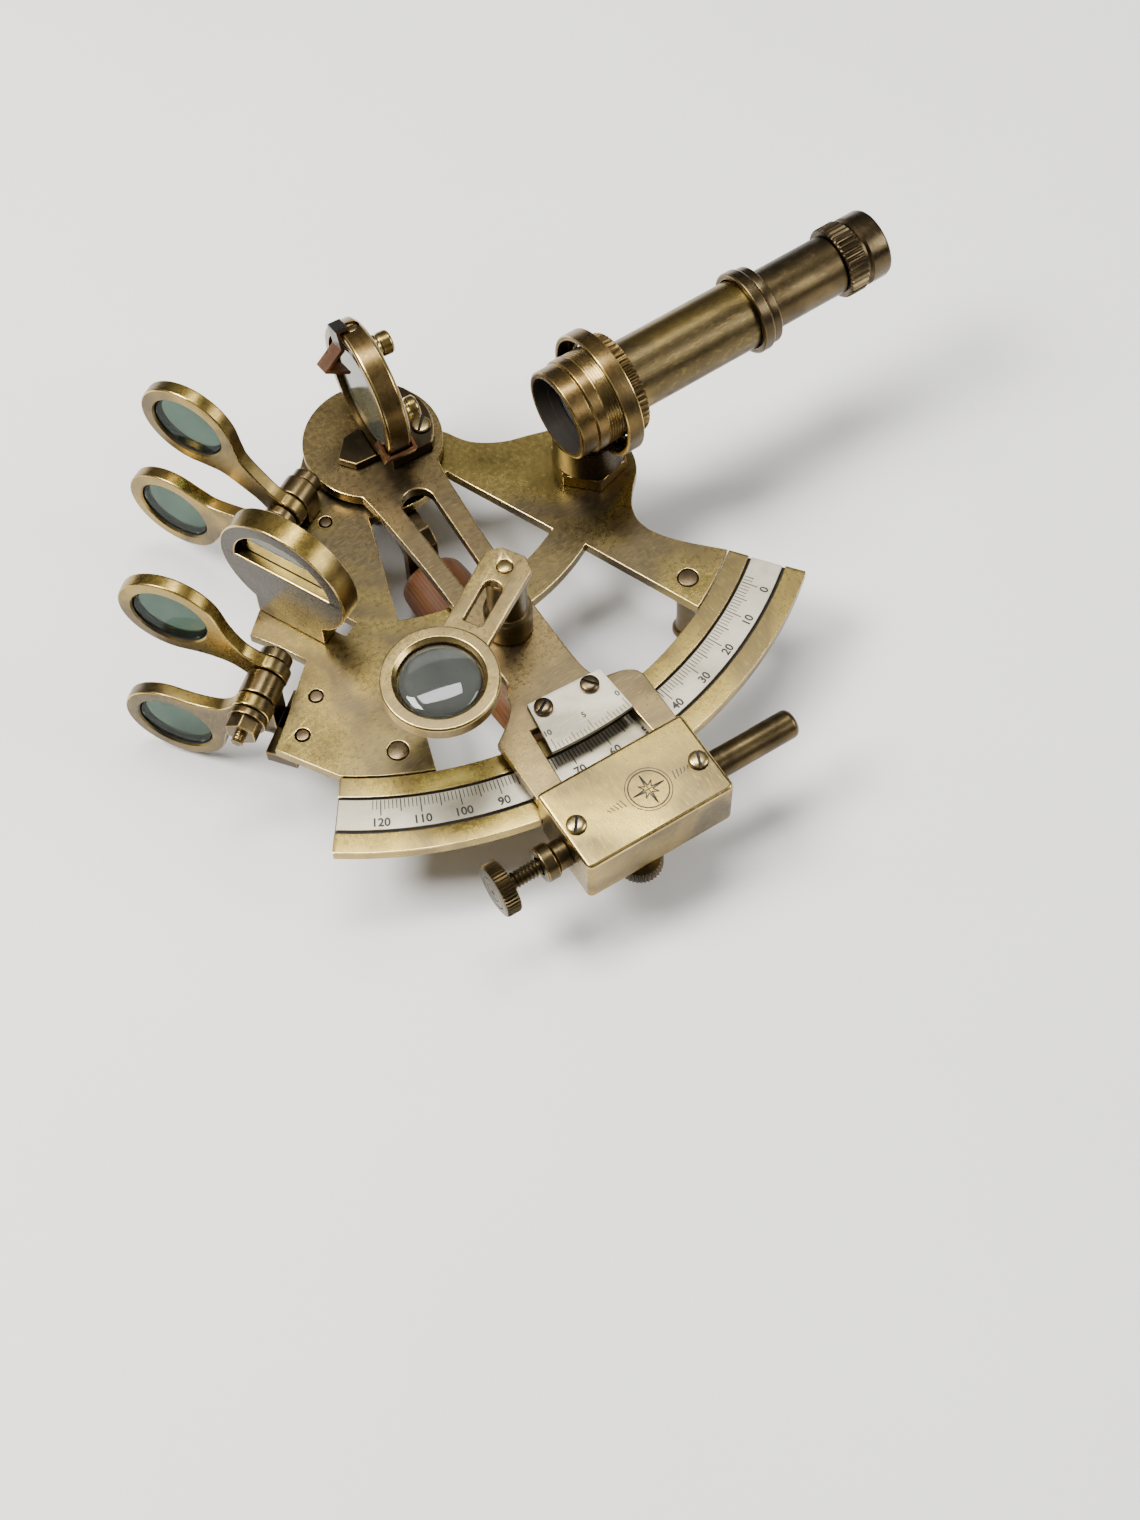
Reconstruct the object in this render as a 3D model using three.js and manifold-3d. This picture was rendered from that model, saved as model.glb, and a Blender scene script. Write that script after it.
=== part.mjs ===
// Nautical sextant standing on its three feet.  Millimetres, +Z up.
// Working frame: pivot axis at x=y=0, resting surface z=0, middle of the limb towards -Y,
// telescope parallel to +X.  The whole group is shifted at the end so that the origin is
// the bottom centre of the bounding box.
import * as THREE from 'three';
import { mergeVertices } from 'three/addons/utils/BufferGeometryUtils.js';
import Module from 'manifold-3d';

const wasm = await Module();
wasm.setup();

// ---------------------------------------------------------------- driving dimensions
const D = Math.PI / 180;
const seg = (n) => Math.max(8, Math.round(n * 0.62));   // facets round a turned part
const FZ0 = 20.5, FZ1 = 23.5;            // frame plate underside and top
const LIMB_IN = 90.0, LIMB_OUT = 109.0;  // limb radii
const LIMB_A0 = -126.7, LIMB_A1 = -53.2; // limb ends, degrees
const SCALE_IN = 95.4, SCALE_OUT = 103.6;
const AZ0 = 25.0, AZ1 = 28.0;            // index arm underside and top
const ARM_ANG = -1.8;                    // arm centreline from -Y at rest
const DISC_R = 17.0;
const STRUT_IN = 49.0, STRUT_OUT = 58.2; // cross strut of the frame
const IM_AZ = -5.0, IM_Z = 45.6, IM_U = 1.7, IM_R = 16.9, IM_IN = 14.4, IM_T = 5.2, IM_N = -0.8;   // index mirror hoop
const IG_Z = 44.2, IG_U = 0.5, IG_R = 12.1;                 // its glass, set low in the hoop
const HM_AZ = 24.5, HM_Z = 43.8, HM_R = 16.9, HM_T = 5.8;   // horizon mirror
const HM_X = -39.6, HM_Y = -30.7;
const TEL_Y = -34.0, TEL_Z = 51.0;       // telescope axis
const STEM_X = 41.0, STEM_Y = -32.4;
const SCR_Y = -117.6, SCR_Z = 25.4;      // tangent screw axis
const PIN_Z = 30.0;                      // shade hinge height
const IS_AZ = 28.2, IS_N = -27.9, IS_U = 7.0, IS_GAP = 6.0, IS_L = 30.2;
const HS_AZ = 37.2, HS_N = -69.1, HS_U = -1.76, HS_GAP = 10.2, HS_L = 26.0;
const IS_A = 39.5, IS_B = -19.0, HS_C = 33.9, HS_D = -36.6;  // rest angles above the horizon
const SH_R = 12.4, SH_IN = 9.0, SH_T = 3.4;
const LEG_R = [41.4, -73.0], LEG_L = [-39.3, -73.7];
const MAG_PX = 0.0, MAG_PY = -62.9;      // magnifier post
const MAG_CX = -26.8, MAG_CY = -17.0;    // lens centre from the post
const MAG_Z0 = 50.6, MAG_Z1 = 53.0;      // magnifier arm underside and top

// ---------------------------------------------------------------- materials
const MAT = {
  brass: ['#9a8147', 0.38, 0.9], gold: ['#ad9047', 0.36, 0.9], dark: ['#6b5734', 0.42, 0.85],
  bronze: ['#5d4a31', 0.45, 0.8], copper: ['#a9704c', 0.4, 0.9], silver: ['#d8d3c4', 0.45, 0.5],
  glass: ['#9fb8a8', 0.08, 0.0], mirror: ['#a9aaa2', 0.08, 0.9], lens: ['#3b3a38', 0.06, 0.0],
  magn: ['#b9b8a8', 0.05, 0.0], wood: ['#7d451c', 0.5, 0.0], screw: ['#7c7358', 0.4, 0.9],
};
const mat = (k) => new THREE.MeshStandardMaterial({ color: MAT[k][0], roughness: MAT[k][1], metalness: MAT[k][2] });

// ---------------------------------------------------------------- geometry helpers
function tidy(g) {
  let q = g.clone();
  q.deleteAttribute('normal');
  if (q.getAttribute('uv')) q.deleteAttribute('uv');
  q = mergeVertices(q, 1e-4);
  const p = q.getAttribute('position'), ix = q.index.array, out = [];
  let vol = 0;
  const a = new THREE.Vector3(), b = new THREE.Vector3(), c = new THREE.Vector3();
  for (let i = 0; i < ix.length; i += 3) {
    const [i0, i1, i2] = [ix[i], ix[i + 1], ix[i + 2]];
    if (i0 === i1 || i1 === i2 || i0 === i2) continue;
    out.push(i0, i1, i2);
    a.fromBufferAttribute(p, i0); b.fromBufferAttribute(p, i1); c.fromBufferAttribute(p, i2);
    vol += a.dot(b.cross(c)) / 6;
  }
  if (vol < 0) for (let i = 0; i < out.length; i += 3) [out[i + 1], out[i + 2]] = [out[i + 2], out[i + 1]];
  q.setIndex(out);
  return q;
}
function man(g) {
  const q = tidy(g);
  return new wasm.Manifold(new wasm.Mesh({
    numProp: 3, vertProperties: new Float32Array(q.getAttribute('position').array),
    triVerts: new Uint32Array(q.index.array),
  }));
}
function geo(m) {
  const s = m.getMesh();
  const q = new THREE.BufferGeometry();
  q.setAttribute('position', new THREE.BufferAttribute(new Float32Array(s.vertProperties), 3));
  q.setIndex(Array.from(s.triVerts));
  return q;
}
const cut = (a, ...bs) => { let m = man(a); for (const b of bs) m = m.subtract(man(b)); return geo(m); };
const join = (a, ...bs) => { let m = man(a); for (const b of bs) m = m.add(man(b)); return geo(m); };
const meet = (a, b) => geo(man(a).intersect(man(b)));
const shape = (pts) => new THREE.Shape(pts.map(([x, y]) => new THREE.Vector2(x, y)));
function ext(pts, z0, z1) {             // polygon in XY, extruded from z0 to z1
  const g = new THREE.ExtrudeGeometry(shape(pts), { depth: z1 - z0, bevelEnabled: false, steps: 1 });
  g.translate(0, 0, z0);
  return g;
}
function lathe(prof, n = 28) {          // [radius, z] profile turned about Z
  const g = new THREE.LatheGeometry(prof.map(([r, z]) => new THREE.Vector2(Math.max(r, 0), z)), seg(n));
  g.rotateX(Math.PI / 2);
  return g;
}
const cyl = (r, z0, z1, n = 24, x = 0, y = 0) => lathe([[0, z0], [r, z0], [r, z1], [0, z1]], n).translate(x, y, 0);
const alongX = (g) => g.rotateY(Math.PI / 2);     // +Z axis becomes +X
const box = (x0, x1, y0, y1, z0, z1) => new THREE.BoxGeometry(x1 - x0, y1 - y0, z1 - z0)
  .translate((x0 + x1) / 2, (y0 + y1) / 2, (z0 + z1) / 2);
const pol = (r, a) => [r * Math.cos(a * D), r * Math.sin(a * D)];
function arc(r, a0, a1, n, cx = 0, cy = 0) {
  const o = [];
  for (let i = 0; i <= n; i++) { const [x, y] = pol(r, a0 + (a1 - a0) * i / n); o.push([x + cx, y + cy]); }
  return o;
}
const sector = (r0, r1, a0, a1, z0, z1, n = 36) => ext([...arc(r0, a0, a1, n), ...arc(r1, a1, a0, n)], z0, z1);
function knurl(r, depth, teeth) {       // toothed circle outline
  const o = [];
  for (let i = 0; i < teeth; i++) {
    const a = 360 / teeth * i, w = 360 / teeth;
    o.push(pol(r - depth, a), pol(r, a + w * 0.5));
  }
  return o;
}
// local frame of an upright plate: local x = n (thickness), local y = u (width), z up
const upright = (g, az, x = 0, y = 0) => g.rotateZ(az * D).translate(x, y, 0);
// polygon drawn in (u, z), thickness n0..n1
function plateUZ(pts, n0, n1) {
  const g = ext(pts, n0, n1);           // (u, z, n) -> want (n, u, z)
  g.applyMatrix4(new THREE.Matrix4().set(0, 0, 1, 0, 1, 0, 0, 0, 0, 1, 0, 0, 0, 0, 0, 1));
  return g;
}
// lathe about the local n axis, centred at (u, z)
const roundUZ = (prof, n, u, z) => alongX(lathe(prof, n)).translate(0, u, z);

const group = new THREE.Group();
group.name = 'sextant';
const offset = new THREE.Group();
offset.name = 'working_frame';
group.add(offset);
function solid(name, g, k, parent = offset) {
  const q = tidy(g);
  q.computeVertexNormals();
  const m = new THREE.Mesh(q, mat(k));
  m.name = name;
  parent.add(m);
  return m;
}

// ================================================================ frame
const plateOutline = [
  ...arc(17.2, 150, -14, 14).map((p) => p),
  [19.8, -9.6], [23.3, -13.0], [27.9, -15.6], [32.4, -17.0], [37.6, -18.6], [44.2, -20.4], [49.6, -26.0],
  [51.6, -33.6], [49.6, -40.2], [45.0, -44.4], [42.0, -48.4], [41.0, -53.0], [42.2, -57.6], [46.5, -64.2],
  [50.6, -68.2], pol(89.7, LIMB_A1),
  ...arc(89.7, -56, -64.5, 4),
  [26.9, -51.6], ...arc(STRUT_OUT, -64.5, -115.2, 10), [-34.8, -82.6],
  ...arc(89.7, -114.6, LIMB_A0, 5),
  [-62.1, -57.8], [-54.6, -51.1], [-44.2, -41.5], [-47.6, -34.4], [-51.4, -28.2], [-45.4, -22.9],
  [-31.4, -9.4], [-25.2, -0.8], [-18.4, 5.0],
];
const upperWindow = [[11.2, -15.2], ...arc(STRUT_IN, -62.2, -115.2, 10), [-11.4, -16.2], ...arc(18.6, -118, -56, 6)];
const shankPt = [-23.2 * Math.cos(IS_AZ * D) - 6.9 * Math.sin(IS_AZ * D), -23.2 * Math.sin(IS_AZ * D) + 6.9 * Math.cos(IS_AZ * D)];
const screwPts = [[-47.2, -51.0], [-55.0, -58.0]];
solid('frame_plate', cut(ext(plateOutline, FZ0, FZ1),
  ext(upperWindow, FZ0 - 1, FZ1 + 1),
  cyl(4.4, FZ0 - 1, FZ1 + 1, 20),
  cyl(2.6, FZ0 - 1, FZ1 + 1, 16, ...LEG_R), cyl(2.6, FZ0 - 1, FZ1 + 1, 16, ...LEG_L),
  cyl(2.0, FZ0 - 1, FZ1 + 1, 14, ...screwPts[0]), cyl(2.0, FZ0 - 1, FZ1 + 1, 14, ...screwPts[1]),
  cyl(1.6, FZ0 - 1, FZ1 + 1, 12, -20.5, -11.1), cyl(1.9, FZ0 - 1, FZ1 + 1, 16, ...shankPt),
  cyl(4.4, FZ0 - 1, FZ1 + 1, 20, STEM_X, STEM_Y),
  ext([[-35.0, -37.2], [-31.2, -35.3], [-29.3, -39.3], [-33.2, -41.2]], FZ0 - 1, FZ1 + 1)), 'brass');

solid('limb', cut(sector(LIMB_IN, LIMB_OUT, LIMB_A0, LIMB_A1, FZ0, FZ1, 26),
  sector(SCALE_IN - 0.3, SCALE_OUT + 0.3, LIMB_A0 - 1, LIMB_A1 + 1, FZ1 - 0.9, FZ1 + 1, 26)), 'gold');
solid('scale_strip', sector(SCALE_IN, SCALE_OUT, LIMB_A0 + 0.2, LIMB_A1 - 0.2, FZ1 - 0.8, FZ1 + 0.05, 26), 'silver');

const legProf = [[0, 0], [2.2, 0], [3.2, 0.9], [3.2, 2.0], [2.4, 3.2], [2.5, 16.6], [4.2, 18.0], [4.2, 20.2], [2.3, 20.2], [2.3, 23.75], [0, 23.75]];
solid('leg_right', lathe(legProf, 20).translate(...LEG_R, 0), 'dark');
solid('leg_left', lathe(legProf, 20).translate(...LEG_L, 0), 'dark');

solid('pivot_bearing', lathe([[0, 0], [5.2, 0], [6.2, 1.0], [6.2, 3.0], [8.6, 6.2], [8.8, 15.0], [12.6, 17.4], [12.6, 20.2],
  [4.0, 20.2], [4.0, 7.0], [0, 7.0]], 32), 'bronze');

// wooden grip below the frame, axis along Y, flattened oval section
const gripY0 = -28.0, gripY1 = -84.0, gripX = -4.0, gripZ = 8.6;
const grip = lathe([[0, 0], [4.6, 0], [7.4, 1.6], [8.4, 5.0], [8.8, 18], [8.9, 28], [8.6, 40], [8.0, 50], [6.8, 54.2], [4.4, 56], [0, 56]], 24);
grip.rotateX(Math.PI / 2);              // +Z becomes -Y
grip.scale(1, 1, 0.76).translate(gripX, gripY0, gripZ);
const postY = -53.6;
solid('grip', cut(grip, cyl(3.0, gripZ + 2, 20, 16, gripX, postY),
  alongX(cyl(1.7, 0, 8, 12)).rotateZ(-Math.PI / 2).translate(gripX, gripY0 + 1, gripZ)), 'wood');
solid('grip_post', lathe([[0, gripZ + 2.3], [2.7, gripZ + 2.3], [2.7, 17.0], [4.2, 18.0], [4.2, 20.2], [0, 20.2]], 16).translate(gripX, postY, 0), 'dark');
// bracket strap at the near end of the grip: foot under the hub and a leg down in front of the grip end
solid('grip_bracket', cut(plateUZ([[-27.6, 3.6], [-27.6, 17.4], [-24.2, 20.2], [-13.6, 20.2], [-13.6, 18.2], [-23.4, 18.2], [-25.4, 16.6], [-25.4, 3.6]], gripX - 4.2, gripX + 4.2),
  alongX(cyl(1.8, 0, 4, 12)).rotateZ(-Math.PI / 2).translate(gripX, -24.6, gripZ)), 'dark');
const gscrew = lathe([[0, -2.0], [3.0, -2.0], [3.0, 0.0], [1.4, 0.0], [1.4, 7.6], [0, 7.6]], 20);
solid('grip_screw', gscrew.applyMatrix4(new THREE.Matrix4().makeRotationX(Math.PI / 2)).translate(gripX, -25.1, gripZ), 'screw');


// ================================================================ horizon mirror
const hmDisc = arc(HM_R, -56, 236, 30, 0, HM_Z);
const hmOut = [...hmDisc, [-9.4, 23.8], [9.4, 23.8]];
const hmWin = [...arc(12.8, 2, 178, 14, 0, HM_Z)];
const hmFrame = cut(plateUZ(hmOut, -HM_T / 2, HM_T / 2), plateUZ(hmWin, -HM_T, HM_T),
  roundUZ([[0, -0.6], [13.2, -0.6], [13.2, HM_T], [0, HM_T]], 36, 0, HM_Z));
solid('horizon_frame', upright(hmFrame, HM_AZ, HM_X, HM_Y), 'brass');
solid('horizon_glass', upright(roundUZ([[0, -0.4], [12.9, -0.4], [12.9, 1.6], [0, 1.6]], 36, 0, HM_Z), HM_AZ, HM_X, HM_Y), 'mirror');

// ================================================================ shades
const nu = (az, n, u) => [n * Math.cos(az * D) - u * Math.sin(az * D), n * Math.sin(az * D) + u * Math.cos(az * D)];
function paddle(L) {                     // drawn in (u, z) with the hinge at 0,0 and the ring along +u
  const boss = 4.7, o = [];
  o.push(...arc(boss, 90, 270, 10));
  const neck = [[3.4, -3.4], [5.6, -3.2], [8.2, -3.3], [L - 14.6, -4.6], [L - 11.4, -6.6]];
  o.push(...neck);
  const th = Math.acos(8.0 / SH_R) / D;
  o.push(...arc(SH_R, -(180 - 48), 180 - 48, 26, L, 0));
  o.push(...neck.map(([a, b]) => [a, -b]).reverse());
  return o;
}
function shade(name, az, n0, u0, rest, L) {
  const g = new THREE.Group();
  g.name = name + '_axis';
  const [px, py] = nu(az, n0, u0);
  g.position.set(px, py, PIN_Z);
  g.rotation.set(0, 0, az * D);
  offset.add(g);
  const tilt = (q) => q.rotateX(rest * D);   // about local n (x)
  const body = cut(plateUZ(paddle(L), -SH_T / 2, SH_T / 2),
    roundUZ([[0, -5], [1.9, -5], [1.9, 5], [0, 5]], 16, 0, 0),
    roundUZ([[0, -5], [SH_IN, -5], [SH_IN, 0.9], [0, 0.9]], 30, L, 0),
    roundUZ([[0, -5], [SH_IN - 0.9, -5], [SH_IN - 0.9, 5], [0, 5]], 30, L, 0));
  solid(name + '_frame', tilt(body), 'brass', g);
  solid(name + '_glass', tilt(roundUZ([[0, -1.0], [SH_IN - 0.25, -1.0], [SH_IN - 0.25, 0.7], [0, 0.7]], 30, L, 0)), 'glass', g);
}
shade('shade_index_1', IS_AZ, IS_N, IS_U, IS_A, IS_L);
shade('shade_index_2', IS_AZ, IS_N - IS_GAP, IS_U, IS_B, IS_L);
shade('shade_horizon_1', HS_AZ, HS_N, HS_U, HS_C, HS_L);
shade('shade_horizon_2', HS_AZ, HS_N - HS_GAP, HS_U, HS_D, HS_L);

// hinge pins: head, plain shank, threaded end with washer and nut, turned and joined as one piece
function pinAt(name, az, u, nA, nB, k, headN, washer, nut, rW, rN) {
  const shank = alongX(lathe([[0, nB], [1.1, nB], [1.5, nB + 0.5], [1.5, nA], [headN, nA], [headN, nA + 2.2], [headN - 0.5, nA + 2.7], [0, nA + 2.7]], 16));
  const g = join(shank, alongX(cyl(rW, washer[0], washer[1], 20)), alongX(ext(arc(rN, 0, 300, 5), nut[0], nut[1])));
  solid(name, upright(g.translate(0, u, PIN_Z), az), k);
}
pinAt('index_shade_pin', IS_AZ, IS_U, -20.2, -41.4, 'dark', 3.6, [-31.9, -29.9], [-38.9, -36.2], 3.9, 3.7);
pinAt('horizon_shade_pin', HS_AZ, HS_U, -66.9, -88.8, 'dark', 3.9, [-83.1, -81.4], [-86.4, -83.0], 4.6, 4.0);

// shade brackets
const ib = join(box(-25.8, -20.6, 2.6, 11.2, 23.8, 31.0), roundUZ([[0, -25.8], [4.3, -25.8], [4.3, -20.6], [0, -20.6]], 20, IS_U, PIN_Z),
  cyl(1.6, 19.0, 24.5, 16, -23.2, 6.9), box(-25.6, -21.0, -2.4, 9.2, 17.9, 20.2));   // shank through the plate, strap below it
const ibr = cyl(1.35, 19.0, 23.75, 12, -20.5, -11.1);
solid('index_shade_bracket', cut(join(upright(ib, IS_AZ), ibr), upright(roundUZ([[0, -27], [1.8, -27], [1.8, -19], [0, -19]], 16, IS_U, PIN_Z), IS_AZ),
  cyl(1.0, 20, 30, 12, 0, 0)), 'dark');
const hb = join(box(-77.2, -71.2, -5.8, 2.6, 17.0, 30.0), roundUZ([[0, -77.2], [4.5, -77.2], [4.5, -71.2], [0, -71.2]], 20, HS_U, PIN_Z),
  box(-84.0, -66.6, -13.0, -5.4, 16.2, 20.2), box(-77.2, -71.2, -8.0, 2.6, 16.2, 20.2));
solid('horizon_shade_bracket', cut(upright(hb, HS_AZ), upright(roundUZ([[0, -78], [1.8, -78], [1.8, -70], [0, -70]], 16, HS_U, PIN_Z), HS_AZ),
  upright(box(-79, -69, -15, -5.6, 20.1, 24.2), HS_AZ),
  cyl(1.7, 17.6, 30, 12, ...screwPts[0]), cyl(1.7, 17.6, 30, 12, ...screwPts[1])), 'dark');
screwPts.forEach(([x, y], i) => solid('bracket_rivet_' + (i + 1), cyl(1.45, 18.0, 23.75, 14, x, y), 'screw'));

// ================================================================ telescope
const hexPts = arc(9.3, 14, 314, 5);
solid('scope_nut', cut(ext(hexPts, 23.8, 27.6), cyl(5.2, 20, 30, 20)).translate(STEM_X, STEM_Y, 0), 'gold');
const ring0 = -1.9, ring1 = 2.1;
const ringBody = alongX(lathe([[12.2, 2.2], [12.2, 0.9], [14.2, 0.9], [14.2, -2.1], [15.4, -2.1], [15.4, 2.2], [12.2, 2.2]], 44)).translate(STEM_X + 2, TEL_Y, TEL_Z);
const stemTop = cyl(8.7, 27.9, TEL_Z - 10, 28, STEM_X, STEM_Y);
const stemLow = lathe([[0, 17.6], [3.9, 17.6], [3.9, 27.9], [8.7, 27.9], [8.7, 28.2], [0, 28.2]], 28).translate(STEM_X, STEM_Y, 0);
const bore = alongX(lathe([[0, -30], [14.6, -30], [14.6, 30], [0, 30]], 44)).translate(STEM_X + 2, TEL_Y, TEL_Z);
const stemCut = cut(stemTop, bore, box(STEM_X + 4.2, STEM_X + 12, STEM_Y - 12, STEM_Y + 12, 33.5, 60));
const stemNut = cyl(7.4, 17.5, 20.2, 6, STEM_X, STEM_Y);
solid('scope_holder', join(ringBody, cut(join(stemLow, stemCut, stemNut), bore)), 'brass');

const tx = (prof, n = 40) => alongX(lathe(prof, n)).translate(0, TEL_Y, TEL_Z);
// objective cell: front rim, step, threaded neck passing through the holder ring
solid('scope_objective', tx([[9.4, 31.0], [11.1, 31.0], [11.1, 35.4], [11.6, 35.4], [11.6, 39.6], [11.7, 39.6], [11.7, 45.2], [9.4, 45.2], [9.4, 36.6], [9.0, 36.6], [9.0, 34.4], [9.4, 34.4], [9.4, 31.0]]), 'brass');
solid('scope_front_lens', tx([[0, 36.9], [9.1, 36.9], [9.1, 38.4], [5.4, 39.2], [0, 39.6]], 32), 'lens');
const lockRing = ext(knurl(12.5, 0.6, 26), 45.6, 49.1);
solid('scope_lock_ring', cut(alongX(lockRing), alongX(cyl(9.0, 40, 60, 36))).translate(0, TEL_Y, TEL_Z), 'bronze');
solid('scope_tube', tx([[7.7, 45.6], [8.6, 45.6], [8.6, 86.2], [7.7, 86.2], [7.7, 45.6]]), 'brass');
solid('scope_end_ring', tx([[8.9, 83.2], [10.1, 83.2], [10.3, 83.6], [10.3, 86.0], [9.7, 86.6], [9.7, 88.8], [7.9, 88.8], [7.9, 86.5], [8.9, 86.5], [8.9, 83.2]]), 'bronze');
solid('draw_tube', tx([[6.7, 58.0], [7.4, 58.0], [7.4, 109.4], [6.7, 109.4], [6.7, 58.0]], 36), 'dark');
const eye = ext(knurl(8.9, 0.45, 20), 109.7, 115.0);
solid('eyepiece_cap', cut(join(alongX(eye), alongX(lathe([[0, 104.4], [6.4, 104.4], [6.4, 109.7], [8.6, 109.7], [8.6, 121.0], [7.9, 122.0], [0, 122.0]], 36))),
  alongX(lathe([[0, 100], [4.2, 100], [4.2, 120.4], [7.2, 122.1], [7.2, 124], [0, 124]], 26))).translate(0, TEL_Y, TEL_Z), 'bronze');
solid('eye_lens', tx([[0, 115.6], [3.9, 115.6], [3.9, 117.2], [0, 117.6]], 20), 'lens');

// ================================================================ index arm (built with its centreline along -Y, then turned)
const arm = new THREE.Group();
arm.name = 'arm_axis';
arm.rotation.set(0, 0, ARM_ANG * D);
offset.add(arm);
const armOutline = [
  ...arc(DISC_R, 232, -52, 34), [9.4, -24.0], [8.2, -45.0], [8.4, -80.0], [10.6, -85.2], [13.6, -86.0],
  [16.6, -87.0], [19.2, -88.9], [19.2, -105.0],
  [-18.3, -105.0], [-18.3, -87.8], [-15.6, -85.6], [-12.4, -83.0], [-10.4, -80.4], [-9.6, -77.6], [-8.4, -77.0],
  [-8.2, -45.0], [-9.8, -24.0],
];
const slot = [...arc(4.0, 0, 180, 10, 0, -21.8), [-3.2, -48.6], [3.2, -48.6]];
const headWindow = [...arc(89.6, -96.6, -82.6, 6), ...arc(104.6, -83.0, -96.2, 6)];
solid('index_arm', cut(ext(armOutline, AZ0, AZ1), ext(slot, AZ0 - 1, AZ1 + 1), ext(headWindow, AZ0 - 1, AZ1 + 1),
  cyl(4.3, AZ0 - 1, AZ1 + 1, 20), cyl(1.5, AZ0 - 1, AZ1 + 1, 12, -5.2, -86.3), cyl(1.5, AZ0 - 1, AZ1 + 1, 12, 6.7, -86.9),
  cyl(2.0, AZ0 - 1, AZ1 + 1, 14, MAG_PX, MAG_PY)), 'gold', arm);
solid('index_axle', lathe([[0, 8.0], [3.7, 8.0], [3.7, 23.8], [12.0, 23.8], [12.0, 24.7], [4.0, 24.7], [4.0, 28.2], [0, 28.2]], 24), 'dark', arm);
const vOut = [...arc(97.4, -95.6, -82.9, 8), [11.0, -84.3], [-7.9, -83.5]];
solid('vernier_plate', cut(ext(vOut, AZ1 + 0.3, AZ1 + 1.5), cyl(1.5, 20, 40, 12, -5.2, -86.3), cyl(1.5, 20, 40, 12, 6.7, -86.9)), 'silver', arm);
const slotHead = (r, h, w) => cut(lathe([[0, -3.6], [1.2, -3.6], [1.2, 0], [r, 0], [r, h - 0.3], [r - 0.4, h], [0, h]], 18), box(-r - 1, r + 1, -w / 2, w / 2, h - 0.6, h + 1));
solid('vernier_screw_1', slotHead(2.25, 1.0, 0.7).rotateZ(0.5).translate(-5.2, -86.3, AZ1 + 1.8), 'screw', arm);
solid('vernier_screw_2', slotHead(2.25, 1.0, 0.7).rotateZ(-0.9).translate(6.7, -86.9, AZ1 + 1.8), 'screw', arm);

// clamp block: straddles the limb edge, carries the tangent screw
const BX0 = -19.0, BX1 = 19.0, BY0 = -127.2, BY1 = -105.4, BZ0 = 17.6, BZ1 = 32.4;
const bo = (dx, dy) => [[BX0 + dx, BY0 + 1.5 + dy], [BX0 + 1.5 + dx, BY0 + dy], [BX1 - 1.5 - dx, BY0 + dy], [BX1 - dx, BY0 + 1.5 + dy],
  [BX1 - dx, BY1 - 1.2 - dy], [BX1 - 1.2 - dx, BY1 - dy], [BX0 + 1.2 + dx, BY1 - dy], [BX0 + dx, BY1 - 1.2 - dy]];
let block = man(ext(bo(0, 0), BZ0, BZ1 - 0.8)).add(man(ext(bo(0.8, 0.8), BZ1 - 0.9, BZ1)));
block = block.subtract(man(ext([...arc(100, -70, -110, 4), ...arc(LIMB_OUT + 0.5, -115, -65, 20)], 10, FZ1 + 0.5)));
block = block.subtract(man(alongX(cyl(2.6, BX0 - 1, -4, 18)).translate(0, SCR_Y, SCR_Z)));
block = block.subtract(man(alongX(cyl(2.6, 6, BX1 + 1, 18)).translate(0, SCR_Y, SCR_Z)));
block = block.subtract(man(cyl(2.1, 10, 21.6, 16, -3.5, -123.6)));
block = block.subtract(man(cyl(1.5, BZ1 - 5, BZ1 + 1, 12, -15.6, -116.6))).subtract(man(cyl(1.5, BZ1 - 5, BZ1 + 1, 12, 15.6, -117.6)));
solid('clamp_block', geo(block), 'gold', arm);
solid('cover_screw_1', slotHead(2.3, 0.9, 0.7).rotateZ(0.9).translate(-15.6, -116.6, BZ1 + 0.3), 'screw', arm);
solid('cover_screw_2', slotHead(2.3, 0.9, 0.7).rotateZ(1.2).translate(15.6, -117.6, BZ1 + 0.3), 'screw', arm);
const sx = (g) => alongX(g).translate(0, SCR_Y, SCR_Z);
solid('screw_sleeve', sx(lathe([[2.3, -26.0], [4.3, -26.0], [4.3, -22.8], [3.5, -22.2], [3.5, BX0 - 0.3], [2.3, BX0 - 0.3], [2.3, -26.0]], 24)), 'dark', arm);
solid('spring_barrel', sx(lathe([[0, 8.0], [2.3, 8.0], [2.3, BX1 + 0.3], [3.5, BX1 + 0.3], [3.5, 40.0], [2.9, 41.2], [0, 41.6]], 24)), 'dark', arm);

// tangent screw: knurled head, threaded shank running into the block
const thr = [[0, -6.0], [1.75, -6.0], [1.75, -26.2]];
for (let x = -26.8; x > -32.6; x -= 1.2) thr.push([2.05, x], [1.6, x - 0.6]);
thr.push([1.75, -33.2], [1.75, -34.0], [0, -34.0]);
const head = ext(knurl(6.4, 0.5, 20), -37.8, -33.9);
solid('tangent_screw', sx(join(lathe(thr, 18), head)), 'dark', arm);

// clamp screw below the block
solid('clamp_knob', join(ext(knurl(5.4, 0.4, 16), 12.6, 16.6), cyl(1.7, 16.5, 21.2, 14)).translate(-3.5, -123.6, 0), 'dark', arm);

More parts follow.
